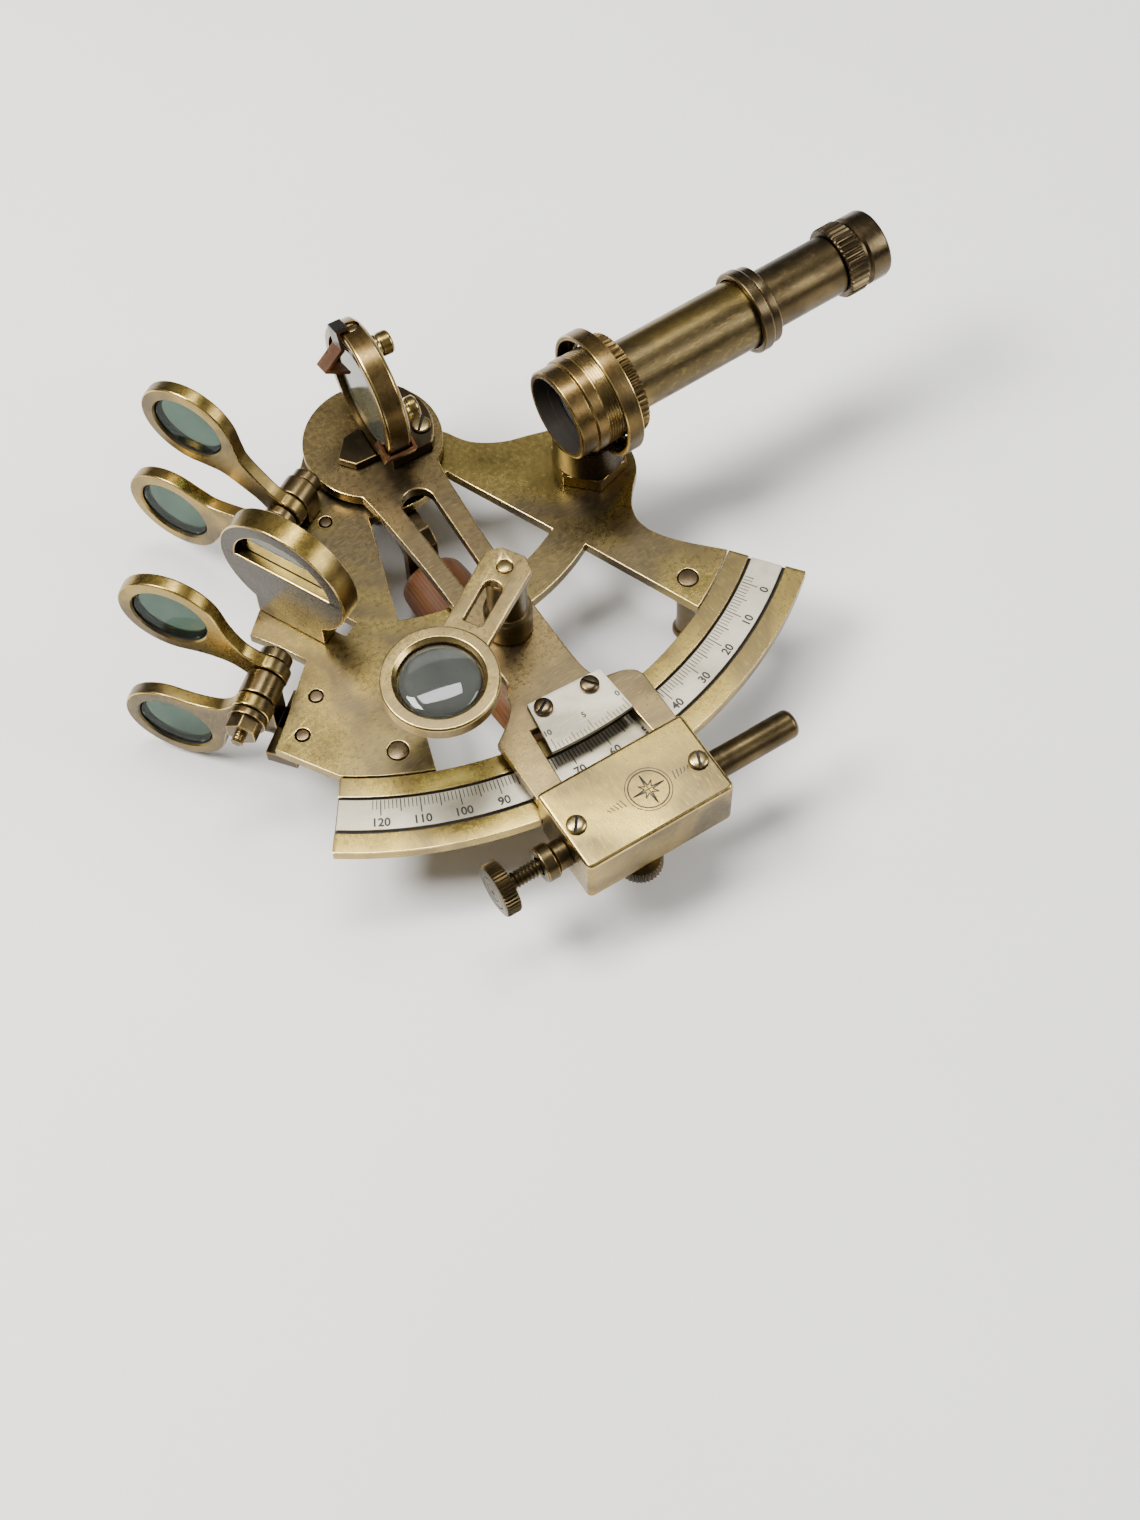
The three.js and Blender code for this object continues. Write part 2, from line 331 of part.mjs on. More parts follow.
// magnifier post, arm and lens
solid('magnifier_post', lathe([[0, 25.3], [1.7, 25.3], [1.7, 28.3], [5.6, 28.3], [5.6, 36.2], [4.6, 36.8], [4.6, 50.3], [1.7, 50.3], [1.7, 53.1], [0, 53.1]], 24).translate(MAG_PX, MAG_PY, 0), 'dark', arm);
const mag = new THREE.Group();
mag.name = 'magnifier_axis';
mag.position.set(MAG_PX, MAG_PY, 0);
arm.add(mag);
const magC = [MAG_CX, MAG_CY], magDir = Math.atan2(magC[1], magC[0]) / D;   // lens centre from the post
const magL = Math.hypot(...magC);
const magArm = [[magL - 10, 5.6], [9.4, 5.6], [-1.8, 5.8], [-4.4, 3.0], [-4.4, -3.0], [-1.8, -5.8], [9.4, -5.6], [magL - 10, -5.6]];
let mg = man(ext(magArm.map(([a, b]) => [a, b]), MAG_Z0, MAG_Z1)).add(man(cyl(13.2, MAG_Z0 - 0.8, MAG_Z1 + 0.6, 44, magL, 0)));
mg = mg.subtract(man(cyl(8.9, 30, 60, 36, magL, 0))).subtract(man(cyl(9.5, MAG_Z0 + 0.2, 60, 36, magL, 0)));
mg = mg.subtract(man(ext([...arc(2.3, 90, 270, 6, 6.6, 0), [15.6, -2.3], [15.6, 2.3]], 30, 60))).subtract(man(cyl(2.0, 30, 60, 16)));
solid('magnifier_arm', geo(mg).rotateZ(magDir * D), 'gold', mag);
solid('magnifier_lens', lathe([[0, MAG_Z0 + 0.5], [9.2, MAG_Z0 + 0.5], [9.2, MAG_Z0 + 1.3], [6.4, MAG_Z0 + 2.4], [3.3, MAG_Z0 + 3.0], [0, MAG_Z0 + 3.2]], 36).translate(magL, 0, 0).rotateZ(magDir * D), 'magn', mag);

// index mirror on the disc (azimuth measured in the working frame, so undo the arm angle)
const ia = IM_AZ - ARM_ANG;
const imx = IM_N * Math.cos(ia * D), imy = IM_N * Math.sin(ia * D);   // the hoop stands this far off the pivot axis
const hoop = cut(roundUZ([[0, -0.8], [IM_R - 0.5, -0.8], [IM_R, -0.3], [IM_R, IM_T - 0.8], [IM_R - 0.8, IM_T], [0, IM_T]], 46, IM_U, IM_Z),
  roundUZ([[0, -3], [IM_IN, -3], [IM_IN, 2.6], [0, 2.6]], 40, IM_U, IM_Z));
// the back is closed only behind the glass: a crescent stays open at the far upper side
const crescent = cut(roundUZ([[0, 2], [IM_IN, 2], [IM_IN, 9], [0, 9]], 40, IM_U, IM_Z), roundUZ([[0, 1], [IG_R + 0.2, 1], [IG_R + 0.2, 10], [0, 10]], 40, IG_U - 0.9, IG_Z - 1.0));
const ST1 = [7.2, 51.4], ST2 = [-7.4, 43.9];
solid('index_mirror_frame', upright(cut(hoop, crescent,
  roundUZ([[0, 0], [1.6, 0], [1.6, 9], [0, 9]], 14, ...ST1), roundUZ([[0, 0], [1.6, 0], [1.6, 9], [0, 9]], 14, ...ST2)), ia, imx, imy), 'gold', arm);
solid('index_mirror_glass', upright(roundUZ([[0, 0.3], [IG_R, 0.3], [IG_R, 2.3], [0, 2.3]], 40, IG_U, IG_Z), ia, imx, imy), 'mirror', arm);
const stud = (u, z, l) => upright(join(roundUZ([[0, 2.9], [1.3, 2.9], [1.3, 6.0], [0, 6.0]], 14, u, z), roundUZ([[0, IM_T + 0.3], [2.9, IM_T + 0.3], [2.9, IM_T + l - 0.4], [2.5, IM_T + l], [0, IM_T + l]], 20, u, z)), ia, imx, imy);
solid('mirror_stud_1', stud(...ST1, 6.2), 'brass', arm);
solid('mirror_stud_2', stud(...ST2, 5.0), 'brass', arm);
// foot of the mirror on the disc: rounded behind, flat in front, with a groove for the ring
let foot = man(cyl(15.0, AZ1 + 0.3, AZ1 + 3.4, 40)).subtract(man(upright(box(-40, 1.4, -40, 40, 20, 40), ia, imx, imy))).subtract(man(box(-40, 40, -40, -10.4, 20, 40)));
foot = foot.add(man(upright(ext([[-9.6, -2.6], [-6.4, -6.2], [3.2, -6.2], [3.2, 4.4], [-5.6, 2.4]], AZ1 + 0.3, AZ1 + 2.4), ia, imx, imy)));
foot = foot.subtract(man(upright(roundUZ([[0, -1.1], [IM_R + 0.3, -1.1], [IM_R + 0.3, IM_T + 0.3], [0, IM_T + 0.3]], 46, IM_U, IM_Z), ia, imx, imy)));
foot = foot.subtract(man(cyl(1.5, 20, 40, 12, 10.9, -5.0)));
solid('mirror_foot', geo(foot), 'dark', arm);
solid('mirror_foot_screw', slotHead(2.4, 1.1, 0.7).scale(1, 1, 0.8).rotateZ(0.8).translate(10.9, -5.0, AZ1 + 3.7), 'screw', arm);
// copper clips: a sprung tongue at the far upper end and a hook at the near lower end
function clip(name, ang, prof, w) {
  const g = ext(prof, -w / 2, w / 2);   // (n, r, width)
  g.applyMatrix4(new THREE.Matrix4().set(1, 0, 0, 0, 0, 0, 1, 0, 0, 1, 0, 0, 0, 0, 0, 1)); // -> (n, width, r)
  g.rotateX((ang - 90) * D).translate(0, IM_U, IM_Z);
  solid(name, upright(g, ia, imx, imy), 'copper', arm);
}
clip('mirror_clip_near', 208, [[-1.9, 12.6], [-1.1, 12.6], [-1.1, 17.2], [IM_T + 0.3, 17.2], [IM_T + 0.3, 14.8], [IM_T + 1.0, 14.8], [IM_T + 1.0, 17.9], [-1.9, 17.9]], 4.2);
clip('mirror_clip_far', 66, [[-1.9, 13.2], [-7.4, 9.4], [-1.6, 6.6], [-1.1, 7.2], [-6.2, 9.5], [-1.1, 12.6], [-1.1, 17.2], [1.4, 17.2], [1.4, 17.9], [-1.9, 17.9]], 5.6);

// ---------------------------------------------------------------- origin: bottom centre of the bounding box
offset.updateMatrixWorld(true);
const bb = new THREE.Box3().setFromObject(offset, true);
offset.position.set(-(bb.min.x + bb.max.x) / 2, -(bb.min.y + bb.max.y) / 2, -bb.min.z);
group.updateMatrixWorld(true);

export default group;
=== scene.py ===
import bpy, bmesh, math
from mathutils import Vector, Matrix


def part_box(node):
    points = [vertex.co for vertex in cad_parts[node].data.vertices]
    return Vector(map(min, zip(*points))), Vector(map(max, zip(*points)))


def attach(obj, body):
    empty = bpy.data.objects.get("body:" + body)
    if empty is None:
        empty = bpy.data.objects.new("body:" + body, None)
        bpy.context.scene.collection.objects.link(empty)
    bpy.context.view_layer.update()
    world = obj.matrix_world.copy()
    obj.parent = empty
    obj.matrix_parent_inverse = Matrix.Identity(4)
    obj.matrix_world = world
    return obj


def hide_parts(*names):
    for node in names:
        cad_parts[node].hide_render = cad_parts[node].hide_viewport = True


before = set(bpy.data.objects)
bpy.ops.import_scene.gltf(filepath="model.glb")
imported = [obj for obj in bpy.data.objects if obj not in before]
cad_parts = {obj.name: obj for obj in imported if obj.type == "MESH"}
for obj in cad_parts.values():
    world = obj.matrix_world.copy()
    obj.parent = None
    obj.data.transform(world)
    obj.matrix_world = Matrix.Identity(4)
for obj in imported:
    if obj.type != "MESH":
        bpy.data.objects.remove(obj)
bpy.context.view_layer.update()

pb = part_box("pivot_bearing")
TX, TY = (pb[0].x + pb[1].x) * 500, (pb[0].y + pb[1].y) * 500      # working frame -> shared frame
SHARED = Matrix.Scale(0.001, 4) @ Matrix.Translation((TX, TY, 0))
D = math.pi / 180
I4 = Matrix.Identity(4)

# ---------------------------------------------------------------- dimensions
FZ0, FZ1 = 20.5, 23.5
LIMB_IN, LIMB_OUT, LA0, LA1 = 90.0, 109.0, -126.7, -53.2
SC_IN, SC_OUT = 95.4, 103.6
AZ0, AZ1 = 25.0, 28.0
ARM = -1.8
IM_AZ, IM_Z, IM_U, IM_R, IM_IN, IM_T, IM_N = -5.0, 45.6, 1.7, 16.9, 14.4, 5.2, -0.8
IG_Z, IG_U, IG_R = 44.2, 0.5, 12.1
HM_AZ, HM_Z, HM_R, HM_T, HM_X, HM_Y = 24.5, 43.8, 16.9, 5.8, -39.6, -30.7
TEL_Y, TEL_Z, STEM_X, STEM_Y = -34.0, 51.0, 41.0, -32.4
SCR_Y, SCR_Z = -117.6, 25.4
PIN_Z = 30.0
IS_AZ, IS_N, IS_U, IS_GAP, IS_L = 28.2, -27.9, 7.0, 6.0, 30.2
HS_AZ, HS_N, HS_U, HS_GAP, HS_L = 37.2, -69.1, -1.76, 10.2, 26.0
IS_A, IS_B, HS_C, HS_D = 39.5, -19.0, 33.9, -36.6
SH_R, SH_IN, SH_T = 12.4, 9.0, 3.4
LEG_R, LEG_L = (41.4, -73.0), (-39.3, -73.7)
MAG_PY, MAG_CX, MAG_CY, MAG_Z0, MAG_Z1 = -62.9, -26.8, -17.0, 50.6, 53.0
BZ1 = 32.4

Rz = lambda a: Matrix.Rotation(a * D, 4, 'Z')
Tr = lambda x=0, y=0, z=0: Matrix.Translation((x, y, z))
ARMM = Rz(ARM)
UZ = Matrix(((0, 0, 1, 0), (1, 0, 0, 0), (0, 1, 0, 0), (0, 0, 0, 1)))      # (u, z, n) -> (n, u, z)
ALONGX = Matrix.Rotation(math.pi / 2, 4, 'Y')
def pol(r, a): return (r * math.cos(a * D), r * math.sin(a * D))
def arc(r, a0, a1, n, cx=0.0, cy=0.0):
    return [(cx + r * math.cos((a0 + (a1 - a0) * i / n) * D), cy + r * math.sin((a0 + (a1 - a0) * i / n) * D)) for i in range(n + 1)]
def catmull(p, k=6):
    o = []
    for i in range(len(p) - 1):
        a, b, c, d = p[max(i - 1, 0)], p[i], p[i + 1], p[min(i + 2, len(p) - 1)]
        for j in range(k):
            t = j / k
            o.append(tuple(0.5 * (2 * b[q] + (c[q] - a[q]) * t + (2 * a[q] - 5 * b[q] + 4 * c[q] - d[q]) * t * t
                                  + (3 * b[q] - a[q] - 3 * c[q] + d[q]) * t ** 3) for q in (0, 1)))
    o.append(p[-1])
    return o
def filletpoly(pts, r, n=5):
    """round every corner of a polygon with radius r (or a list of radii)"""
    out, m = [], len(pts)
    for i in range(m):
        rr = r[i] if isinstance(r, (list, tuple)) else r
        p, q, s = Vector(pts[i - 1]), Vector(pts[i]), Vector(pts[(i + 1) % m])
        a, b = (p - q), (s - q)
        la, lb = a.length, b.length
        a.normalize(); b.normalize()
        th = a.angle(b)
        if rr <= 0 or th > 3.1:
            out.append(tuple(q)); continue
        d = min(rr / math.tan(th / 2), la * .49, lb * .49)
        A, B = q + a * d, q + b * d
        for k in range(n + 1):
            t = k / n
            out.append(tuple((1 - t) ** 2 * A + 2 * t * (1 - t) * q + t * t * B))
    return out

# ---------------------------------------------------------------- materials
def newmat(name):
    m = bpy.data.materials.new(name)
    m.use_nodes = True
    nt = m.node_tree
    b = nt.nodes["Principled BSDF"]
    return m, nt, b
def N(nt, kind, **kw):
    n = nt.nodes.new(kind)
    for k, v in kw.items():
        if k in n.bl_rna.properties: setattr(n, k, v)
        else: n.inputs[k].default_value = v
    return n
def ramp(nt, fac, stops, interp='LINEAR'):
    r = nt.nodes.new('ShaderNodeValToRGB')
    r.color_ramp.interpolation = interp
    e = r.color_ramp.elements
    while len(e) < len(stops): e.new(0.5)
    for i, (p, c) in enumerate(stops):
        e[i].position = p
        e[i].color = (c, c, c, 1) if isinstance(c, (int, float)) else (*c, 1)
    nt.links.new(fac, r.inputs[0])
    return r.outputs[0]
def mix(nt, a, b, f, mode='MIX'):
    m = nt.nodes.new('ShaderNodeMix'); m.data_type = 'RGBA'; m.blend_type = mode
    for s, v in ((m.inputs[0], f), (m.inputs[6], a), (m.inputs[7], b)):
        if hasattr(v, 'is_linked') or hasattr(v, 'links'): nt.links.new(v, s)
        else: s.default_value = v if isinstance(v, (int, float)) else (*v, 1)
    return m.outputs[2]
def coords(nt, scale=(1, 1, 1), rot=(0, 0, 0), loc=(0, 0, 0)):
    tc = nt.nodes.new('ShaderNodeTexCoord'); mp = nt.nodes.new('ShaderNodeMapping')
    mp.inputs['Scale'].default_value = scale; mp.inputs['Rotation'].default_value = rot; mp.inputs['Location'].default_value = loc
    nt.links.new(tc.outputs['Object'], mp.inputs[0])
    return mp.outputs[0]
def noise(nt, vec, scale, detail=4, rough=0.55, dist=0.0):
    n = nt.nodes.new('ShaderNodeTexNoise')
    n.inputs['Scale'].default_value = scale; n.inputs['Detail'].default_value = detail
    n.inputs['Roughness'].default_value = rough; n.inputs['Distortion'].default_value = dist
    nt.links.new(vec, n.inputs['Vector'])
    return n.outputs[0]
def metal(name, base, stain, deep, rough=(0.24, 0.42), metallic=1.0, brush=(1, 1, 1), amount=0.5, seed=0.0, wear=None, bump=0.05):
    """aged metal: blotchy patina, dark stains, fine brushed grain painted as lighter streaks of sheen, small scratches
    """
    m, nt, b = newmat(name)
    v = coords(nt, loc=(seed, seed * .7, seed * 1.3))
    big = noise(nt, v, 34, 3, 0.5, 0.9)
    med = noise(nt, v, 110, 4, 0.55, 0.3)
    fine = noise(nt, v, 900, 3, 0.6)
    br = noise(nt, coords(nt, scale=brush, loc=(seed, 0, 0)), 420, 4, 0.7)
    c = mix(nt, base, stain, ramp(nt, big, [(0.46 - 0.10 * amount, 0.0), (0.66 - 0.08 * amount, 1.0)]))
    c = mix(nt, c, deep, ramp(nt, med, [(0.52, 0.0), (0.92, 0.75)]))
    # brushed grain drawn as lighter streaks of the base colour: a painted sheen along with the grain
    c = mix(nt, c, tuple(min(1, x * 1.3 + .01) for x in base), ramp(nt, br, [(0.52, 0.0), (0.72, 0.35)]))
    if wear is not None:
        c = mix(nt, c, wear, ramp(nt, med, [(0.36, 0.95), (0.62, 0.35)]))
    nt.links.new(c, b.inputs['Base Color'])
    b.inputs['Metallic'].default_value = metallic
    r0, r1 = rough
    mth = N(nt, 'ShaderNodeMath', operation='ADD'); mth.use_clamp = True
    nt.links.new(ramp(nt, big, [(0.3, r0), (0.75, r1)]), mth.inputs[0])
    nt.links.new(ramp(nt, fine, [(0.35, 0.0), (0.8, 0.10)]), mth.inputs[1])
    nt.links.new(mth.outputs[0], b.inputs['Roughness'])
    bp = N(nt, 'ShaderNodeBump'); bp.inputs['Strength'].default_value = bump; bp.inputs['Distance'].default_value = 0.0002
    hm = N(nt, 'ShaderNodeMath', operation='ADD')
    nt.links.new(br, hm.inputs[0]); nt.links.new(med, hm.inputs[1])
    nt.links.new(hm.outputs[0], bp.inputs['Height'])
    nt.links.new(bp.outputs[0], b.inputs['Normal'])
    return m
MAT = {}
MAT['brass'] = metal('antique_brass', (0.286, 0.197, 0.049), (0.100, 0.074, 0.034), (0.028, 0.020, 0.010), (0.22, 0.36), brush=(1, 6, 1), amount=0.8, seed=1.3)
MAT['plate'] = metal('frame_brass', (0.30, 0.222, 0.068), (0.112, 0.086, 0.048), (0.040, 0.030, 0.016), (0.20, 0.34), brush=(1, 7, 1), amount=1.0, seed=4.1)
MAT['gold'] = metal('gold_brass', (0.370, 0.269, 0.071), (0.156, 0.117, 0.051), (0.048, 0.035, 0.016), (0.20, 0.34), brush=(7, 1, 1), amount=0.75, seed=2.2)
MAT['pale'] = metal('pale_brass', (0.396, 0.288, 0.107), (0.205, 0.152, 0.070), (0.072, 0.052, 0.026), (0.20, 0.32), brush=(1, 5, 1), amount=0.65, seed=7.7)
MAT['dark'] = metal('dark_brass', (0.12, 0.086, 0.038), (0.05, 0.036, 0.017), (0.02, 0.014, 0.008), (0.24, 0.40), brush=(1, 1, 5), amount=0.65, seed=3.4)
# near-black brass for parts that sit in shadow: painted shade
MAT['black'] = metal('painted_shade_black', (0.05, 0.037, 0.02), (0.026, 0.019, 0.011), (0.014, 0.01, 0.006), (0.26, 0.42), brush=(1, 1, 5), amount=0.6, seed=3.9)
MAT['bronze'] = metal('bronzed_brass', (0.085, 0.062, 0.031), (0.042, 0.03, 0.016), (0.018, 0.013, 0.008), (0.22, 0.36), brush=(5, 1, 1), amount=0.6, seed=5.5)
MAT['ring'] = metal('ring_brass', (0.183, 0.117, 0.041), (0.079, 0.053, 0.022), (0.035, 0.025, 0.012), (0.22, 0.36), brush=(5, 1, 1), amount=0.7, seed=5.9)
MAT['copper'] = metal('copper_strip', (0.289, 0.132, 0.058), (0.145, 0.066, 0.030), (0.060, 0.028, 0.015), (0.2, 0.36), brush=(1, 1, 5), amount=0.55, seed=6.1)
MAT['screw'] = metal('screw_metal', (0.40, 0.31, 0.14), (0.17, 0.13, 0.06), (0.05, 0.036, 0.02), (0.2, 0.34), brush=(6, 1, 1), amount=0.6, seed=8.2)
MAT['dscrew'] = metal('dark_screw', (0.13, 0.092, 0.05), (0.065, 0.046, 0.026), (0.025, 0.018, 0.011), (0.22, 0.36), brush=(6, 1, 1), amount=0.5, seed=8.8)
MAT['steel'] = metal('grey_face', (0.045, 0.037, 0.024), (0.024, 0.02, 0.013), (0.030, 0.024, 0.015), (0.2, 0.34), brush=(1, 1, 6), amount=0.6, seed=9.4)
MAT['silver'] = metal('silvered_scale', (0.494, 0.451, 0.342), (0.331, 0.294, 0.207), (0.190, 0.160, 0.100), (0.30, 0.44), metallic=0.75, brush=(1, 9, 1), amount=0.4, seed=10.0, bump=0.06)
MAT['arm'] = metal('arm_brass', (0.286, 0.206, 0.084), (0.125, 0.093, 0.049), (0.048, 0.035, 0.019), (0.20, 0.34), brush=(1, 6, 1), amount=0.9, seed=14.2)
# lighter metal for bevelled edges: edge wear plus a painted highlight along every edge
MAT['edge'] = metal('edge_wear_and_painted_highlight', (0.66, 0.485, 0.18), (0.33, 0.235, 0.085), (0.12, 0.085, 0.035), (0.16, 0.28), brush=(1, 1, 1), amount=0.45, seed=11.0, bump=0.05)
MAT['dedge'] = metal('dark_edge_wear_and_painted_highlight', (0.34, 0.235, 0.09), (0.14, 0.097, 0.04), (0.045, 0.032, 0.016), (0.2, 0.34), amount=0.6, seed=12.0, bump=0.05)
# dark material for slots, gaps and recesses: dirt there plus painted shade
MAT['groove'] = metal('groove_dirt_and_painted_shade', (0.022, 0.016, 0.010), (0.012, 0.009, 0.006), (0.035, 0.026, 0.016), (0.55, 0.8), metallic=0.3, seed=13.0)
def ink():
    m, nt, b = newmat('filled_marks')
    v = coords(nt)
    c = mix(nt, (0.010, 0.008, 0.006), (0.035, 0.028, 0.02), ramp(nt, noise(nt, v, 600, 3), [(0.5, 0.0), (0.75, 1.0)]))
    nt.links.new(c, b.inputs['Base Color']); b.inputs['Roughness'].default_value = 0.65
    return m
MAT['ink'] = ink()
def wood():
    m, nt, b = newmat('varnished_wood')
    v = coords(nt, scale=(9, 1, 9))
    g = noise(nt, v, 90, 6, 0.6, 1.2)
    w = nt.nodes.new('ShaderNodeTexWave'); w.inputs['Scale'].default_value = 45; w.inputs['Distortion'].default_value = 6; w.inputs['Detail'].default_value = 3
    nt.links.new(v, w.inputs[0])
    c = mix(nt, (0.12, 0.044, 0.013), (0.05, 0.017, 0.005), ramp(nt, g, [(0.35, 0.0), (0.7, 1.0)]))
    c = mix(nt, c, (0.16, 0.064, 0.02), ramp(nt, w.outputs['Fac'], [(0.3, 0.0), (1.0, 0.5)]))
    nt.links.new(c, b.inputs['Base Color'])
    nt.links.new(ramp(nt, g, [(0.3, 0.46), (0.8, 0.62)]), b.inputs['Roughness'])
    b.inputs['Specular IOR Level'].default_value = 0.22
    bp = N(nt, 'ShaderNodeBump'); bp.inputs['Strength'].default_value = 0.15; bp.inputs['Distance'].default_value = 0.0003
    nt.links.new(g, bp.inputs['Height']); nt.links.new(bp.outputs[0], b.inputs['Normal'])
    return m
MAT['wood'] = wood()
def glass(name, c0, c1, rough, trans, metallic=0.0, alpha=1.0, ior=1.5):
    m, nt, b = newmat(name)
    v = coords(nt)
    n = noise(nt, v, 120, 4, 0.5)
    nt.links.new(mix(nt, c0, c1, ramp(nt, n, [(0.35, 0.0), (0.7, 1.0)])), b.inputs['Base Color'])
    nt.links.new(ramp(nt, noise(nt, v, 500, 4), [(0.4, rough), (0.8, rough + 0.06)]), b.inputs['Roughness'])
    b.inputs['Transmission Weight'].default_value = trans
    b.inputs['Metallic'].default_value = metallic
    b.inputs['IOR'].default_value = ior
    b.inputs['Alpha'].default_value = alpha
    return m
MAT['shade'] = glass('shade_glass', (0.08, 0.125, 0.098), (0.058, 0.096, 0.074), 0.03, 0.9, ior=1.12)
MAT['mirror'] = glass('mirror_glass', (0.13, 0.14, 0.128), (0.085, 0.094, 0.084), 0.05, 0.0, metallic=0.85)
MAT['imirror'] = glass('index_mirror_glass', (0.12, 0.135, 0.105), (0.08, 0.09, 0.07), 0.10, 0.0, metallic=0.5)
MAT['lens'] = glass('lens_glass', (0.10, 0.11, 0.12), (0.05, 0.05, 0.06), 0.02, 0.25)
MAT['magn'] = glass('magnifier_glass', (0.17, 0.18, 0.165), (0.12, 0.13, 0.115), 0.02, 0.8, ior=1.45)

# ---------------------------------------------------------------- mesh helpers
col = bpy.context.scene.collection
def bm_obj(bm, name='tmp'):
    bmesh.ops.recalc_face_normals(bm, faces=bm.faces)
    me = bpy.data.meshes.new(name); bm.to_mesh(me); bm.free()
    o = bpy.data.objects.new(name, me); col.objects.link(o)
    return o
def lathe(prof, n=96, mod=None, teeth=0, depth=0.0, M=I4):
    """turn [r, z] about Z; mod flags the points whose radius carries the knurl"""
    bm = bmesh.new()
    closed = abs(prof[0][0] - prof[-1][0]) < 1e-6 and abs(prof[0][1] - prof[-1][1]) < 1e-6
    P = prof[:-1] if closed else prof
    k = 6
    if teeth: n = teeth * k
    shp = [0.0, 0.0, 0.55, 1.0, 1.0, 0.55]
    rings = []
    for i, (r, z) in enumerate(P):
        if r < 1e-6:
            rings.append([bm.verts.new(M @ Vector((0, 0, z)))]); continue
        ring = []
        for j in range(n):
            a = 2 * math.pi * j / n
            rr = r - (depth * shp[j % k] * mod[i] if teeth and mod and mod[i] else 0)
            ring.append(bm.verts.new(M @ Vector((rr * math.cos(a), rr * math.sin(a), z))))
        rings.append(ring)
    pairs = [(i, i + 1) for i in range(len(rings) - 1)] + ([(len(rings) - 1, 0)] if closed else [])
    for a, b in pairs:
        A, B = rings[a], rings[b]
        if len(A) == 1 and len(B) == 1: continue
        for j in range(n):
            j2 = (j + 1) % n
            f = [A[0], B[j], B[j2]] if len(A) == 1 else [A[j], A[j2], B[0]] if len(B) == 1 else [A[j], A[j2], B[j2], B[j]]
            bm.faces.new(f)
    return bm_obj(bm)
def extr(pts, z0, z1, M=I4):
    bm = bmesh.new()
    lo = [bm.verts.new(M @ Vector((x, y, z0))) for x, y in pts]
    hi = [bm.verts.new(M @ Vector((x, y, z1))) for x, y in pts]
    bm.faces.new(lo[::-1]); bm.faces.new(hi)
    for i in range(len(pts)):
        j = (i + 1) % len(pts)
        bm.faces.new([lo[i], lo[j], hi[j], hi[i]])
    return bm_obj(bm)
def plate(outline, holes, z0, z1, bev=0.3, res=2, M=I4):
    """flat piece with rounded edges from a filled outline"""
    cu = bpy.data.curves.new('plate', 'CURVE'); cu.dimensions = '2D'; cu.fill_mode = 'BOTH'
    cu.extrude = (z1 - z0) / 2 - bev; cu.bevel_depth = bev; cu.bevel_resolution = res; cu.offset = -bev
    for pts in [outline] + list(holes):
        sp = cu.splines.new('POLY'); sp.points.add(len(pts) - 1)
        for p, (x, y) in zip(sp.points, pts): p.co = (x, y, 0, 1)
        sp.use_cyclic_u = True
    o = bpy.data.objects.new('plate', cu); col.objects.link(o)
    bpy.context.view_layer.update()
    me = bpy.data.meshes.new_from_object(o.evaluated_get(bpy.context.evaluated_depsgraph_get()))
    bpy.data.objects.remove(o)
    bm = bmesh.new(); bm.from_mesh(me); bpy.data.meshes.remove(me)
    bmesh.ops.remove_doubles(bm, verts=bm.verts, dist=1e-3)
    for v in bm.verts: v.co = M @ Vector((v.co.x, v.co.y, v.co.z + (z0 + z1) / 2))
    return bm_obj(bm)
def boxm(x0, x1, y0, y1, z0, z1, M=I4):
    return extr([(x0, y0), (x1, y0), (x1, y1), (x0, y1)], z0, z1, M)
def sweep(prof, a0, a1, n, M=I4):
    """closed (r, z) section swept round Z from a0 to a1 degrees, ends closed"""
    bm = bmesh.new(); R = []
    for i in range(n + 1):
        a = (a0 + (a1 - a0) * i / n) * D
        R.append([bm.verts.new(M @ Vector((r * math.cos(a), r * math.sin(a), z))) for r, z in prof])
    m = len(prof)
    for i in range(n):
        for j in range(m):
            k = (j + 1) % m
            bm.faces.new([R[i][j], R[i][k], R[i + 1][k], R[i + 1][j]])
    bm.faces.new(R[0]); bm.faces.new(R[-1][::-1])
    return bm_obj(bm)
def apply(o):
    bpy.context.view_layer.update()
    me = bpy.data.meshes.new_from_object(o.evaluated_get(bpy.context.evaluated_depsgraph_get()))
    o.modifiers.clear(); old = o.data; o.data = me; bpy.data.meshes.remove(old)
    return o
def bevel(o, w, seg=2, angle=32, mat=1):
    # bevel faces take slot mat, by default the lighter edge material: a painted highlight along the edges, with wear
    b = o.modifiers.new('b', 'BEVEL'); b.width = w; b.segments = seg; b.limit_method = 'ANGLE'; b.angle_limit = angle * D
    b.use_clamp_overlap = True; b.material = -1
    if len(o.data.materials) == 0:
        o.data.materials.append(MAT['brass']); o.data.materials.append(MAT['edge'])
    b.material = mat
    return apply(o)
def boole(a, bs, op='DIFFERENCE'):
    for b in bs:
        m = a.modifiers.new('x', 'BOOLEAN'); m.operation = op; m.object = b; m.solver = 'EXACT'
    apply(a)
    for b in bs: bpy.data.objects.remove(b)
    return a
def merge(*obs):
    bm = bmesh.new()
    for o in obs: bm.from_mesh(o.data)
    a = obs[0]; me = bpy.data.meshes.new('m'); bm.to_mesh(me); bm.free()
    for m in a.data.materials: me.materials.append(m)
    a.data = me
    for o in obs[1:]: bpy.data.objects.remove(o)
    return a
def move(o, M): o.data.transform(M); return o
made = []
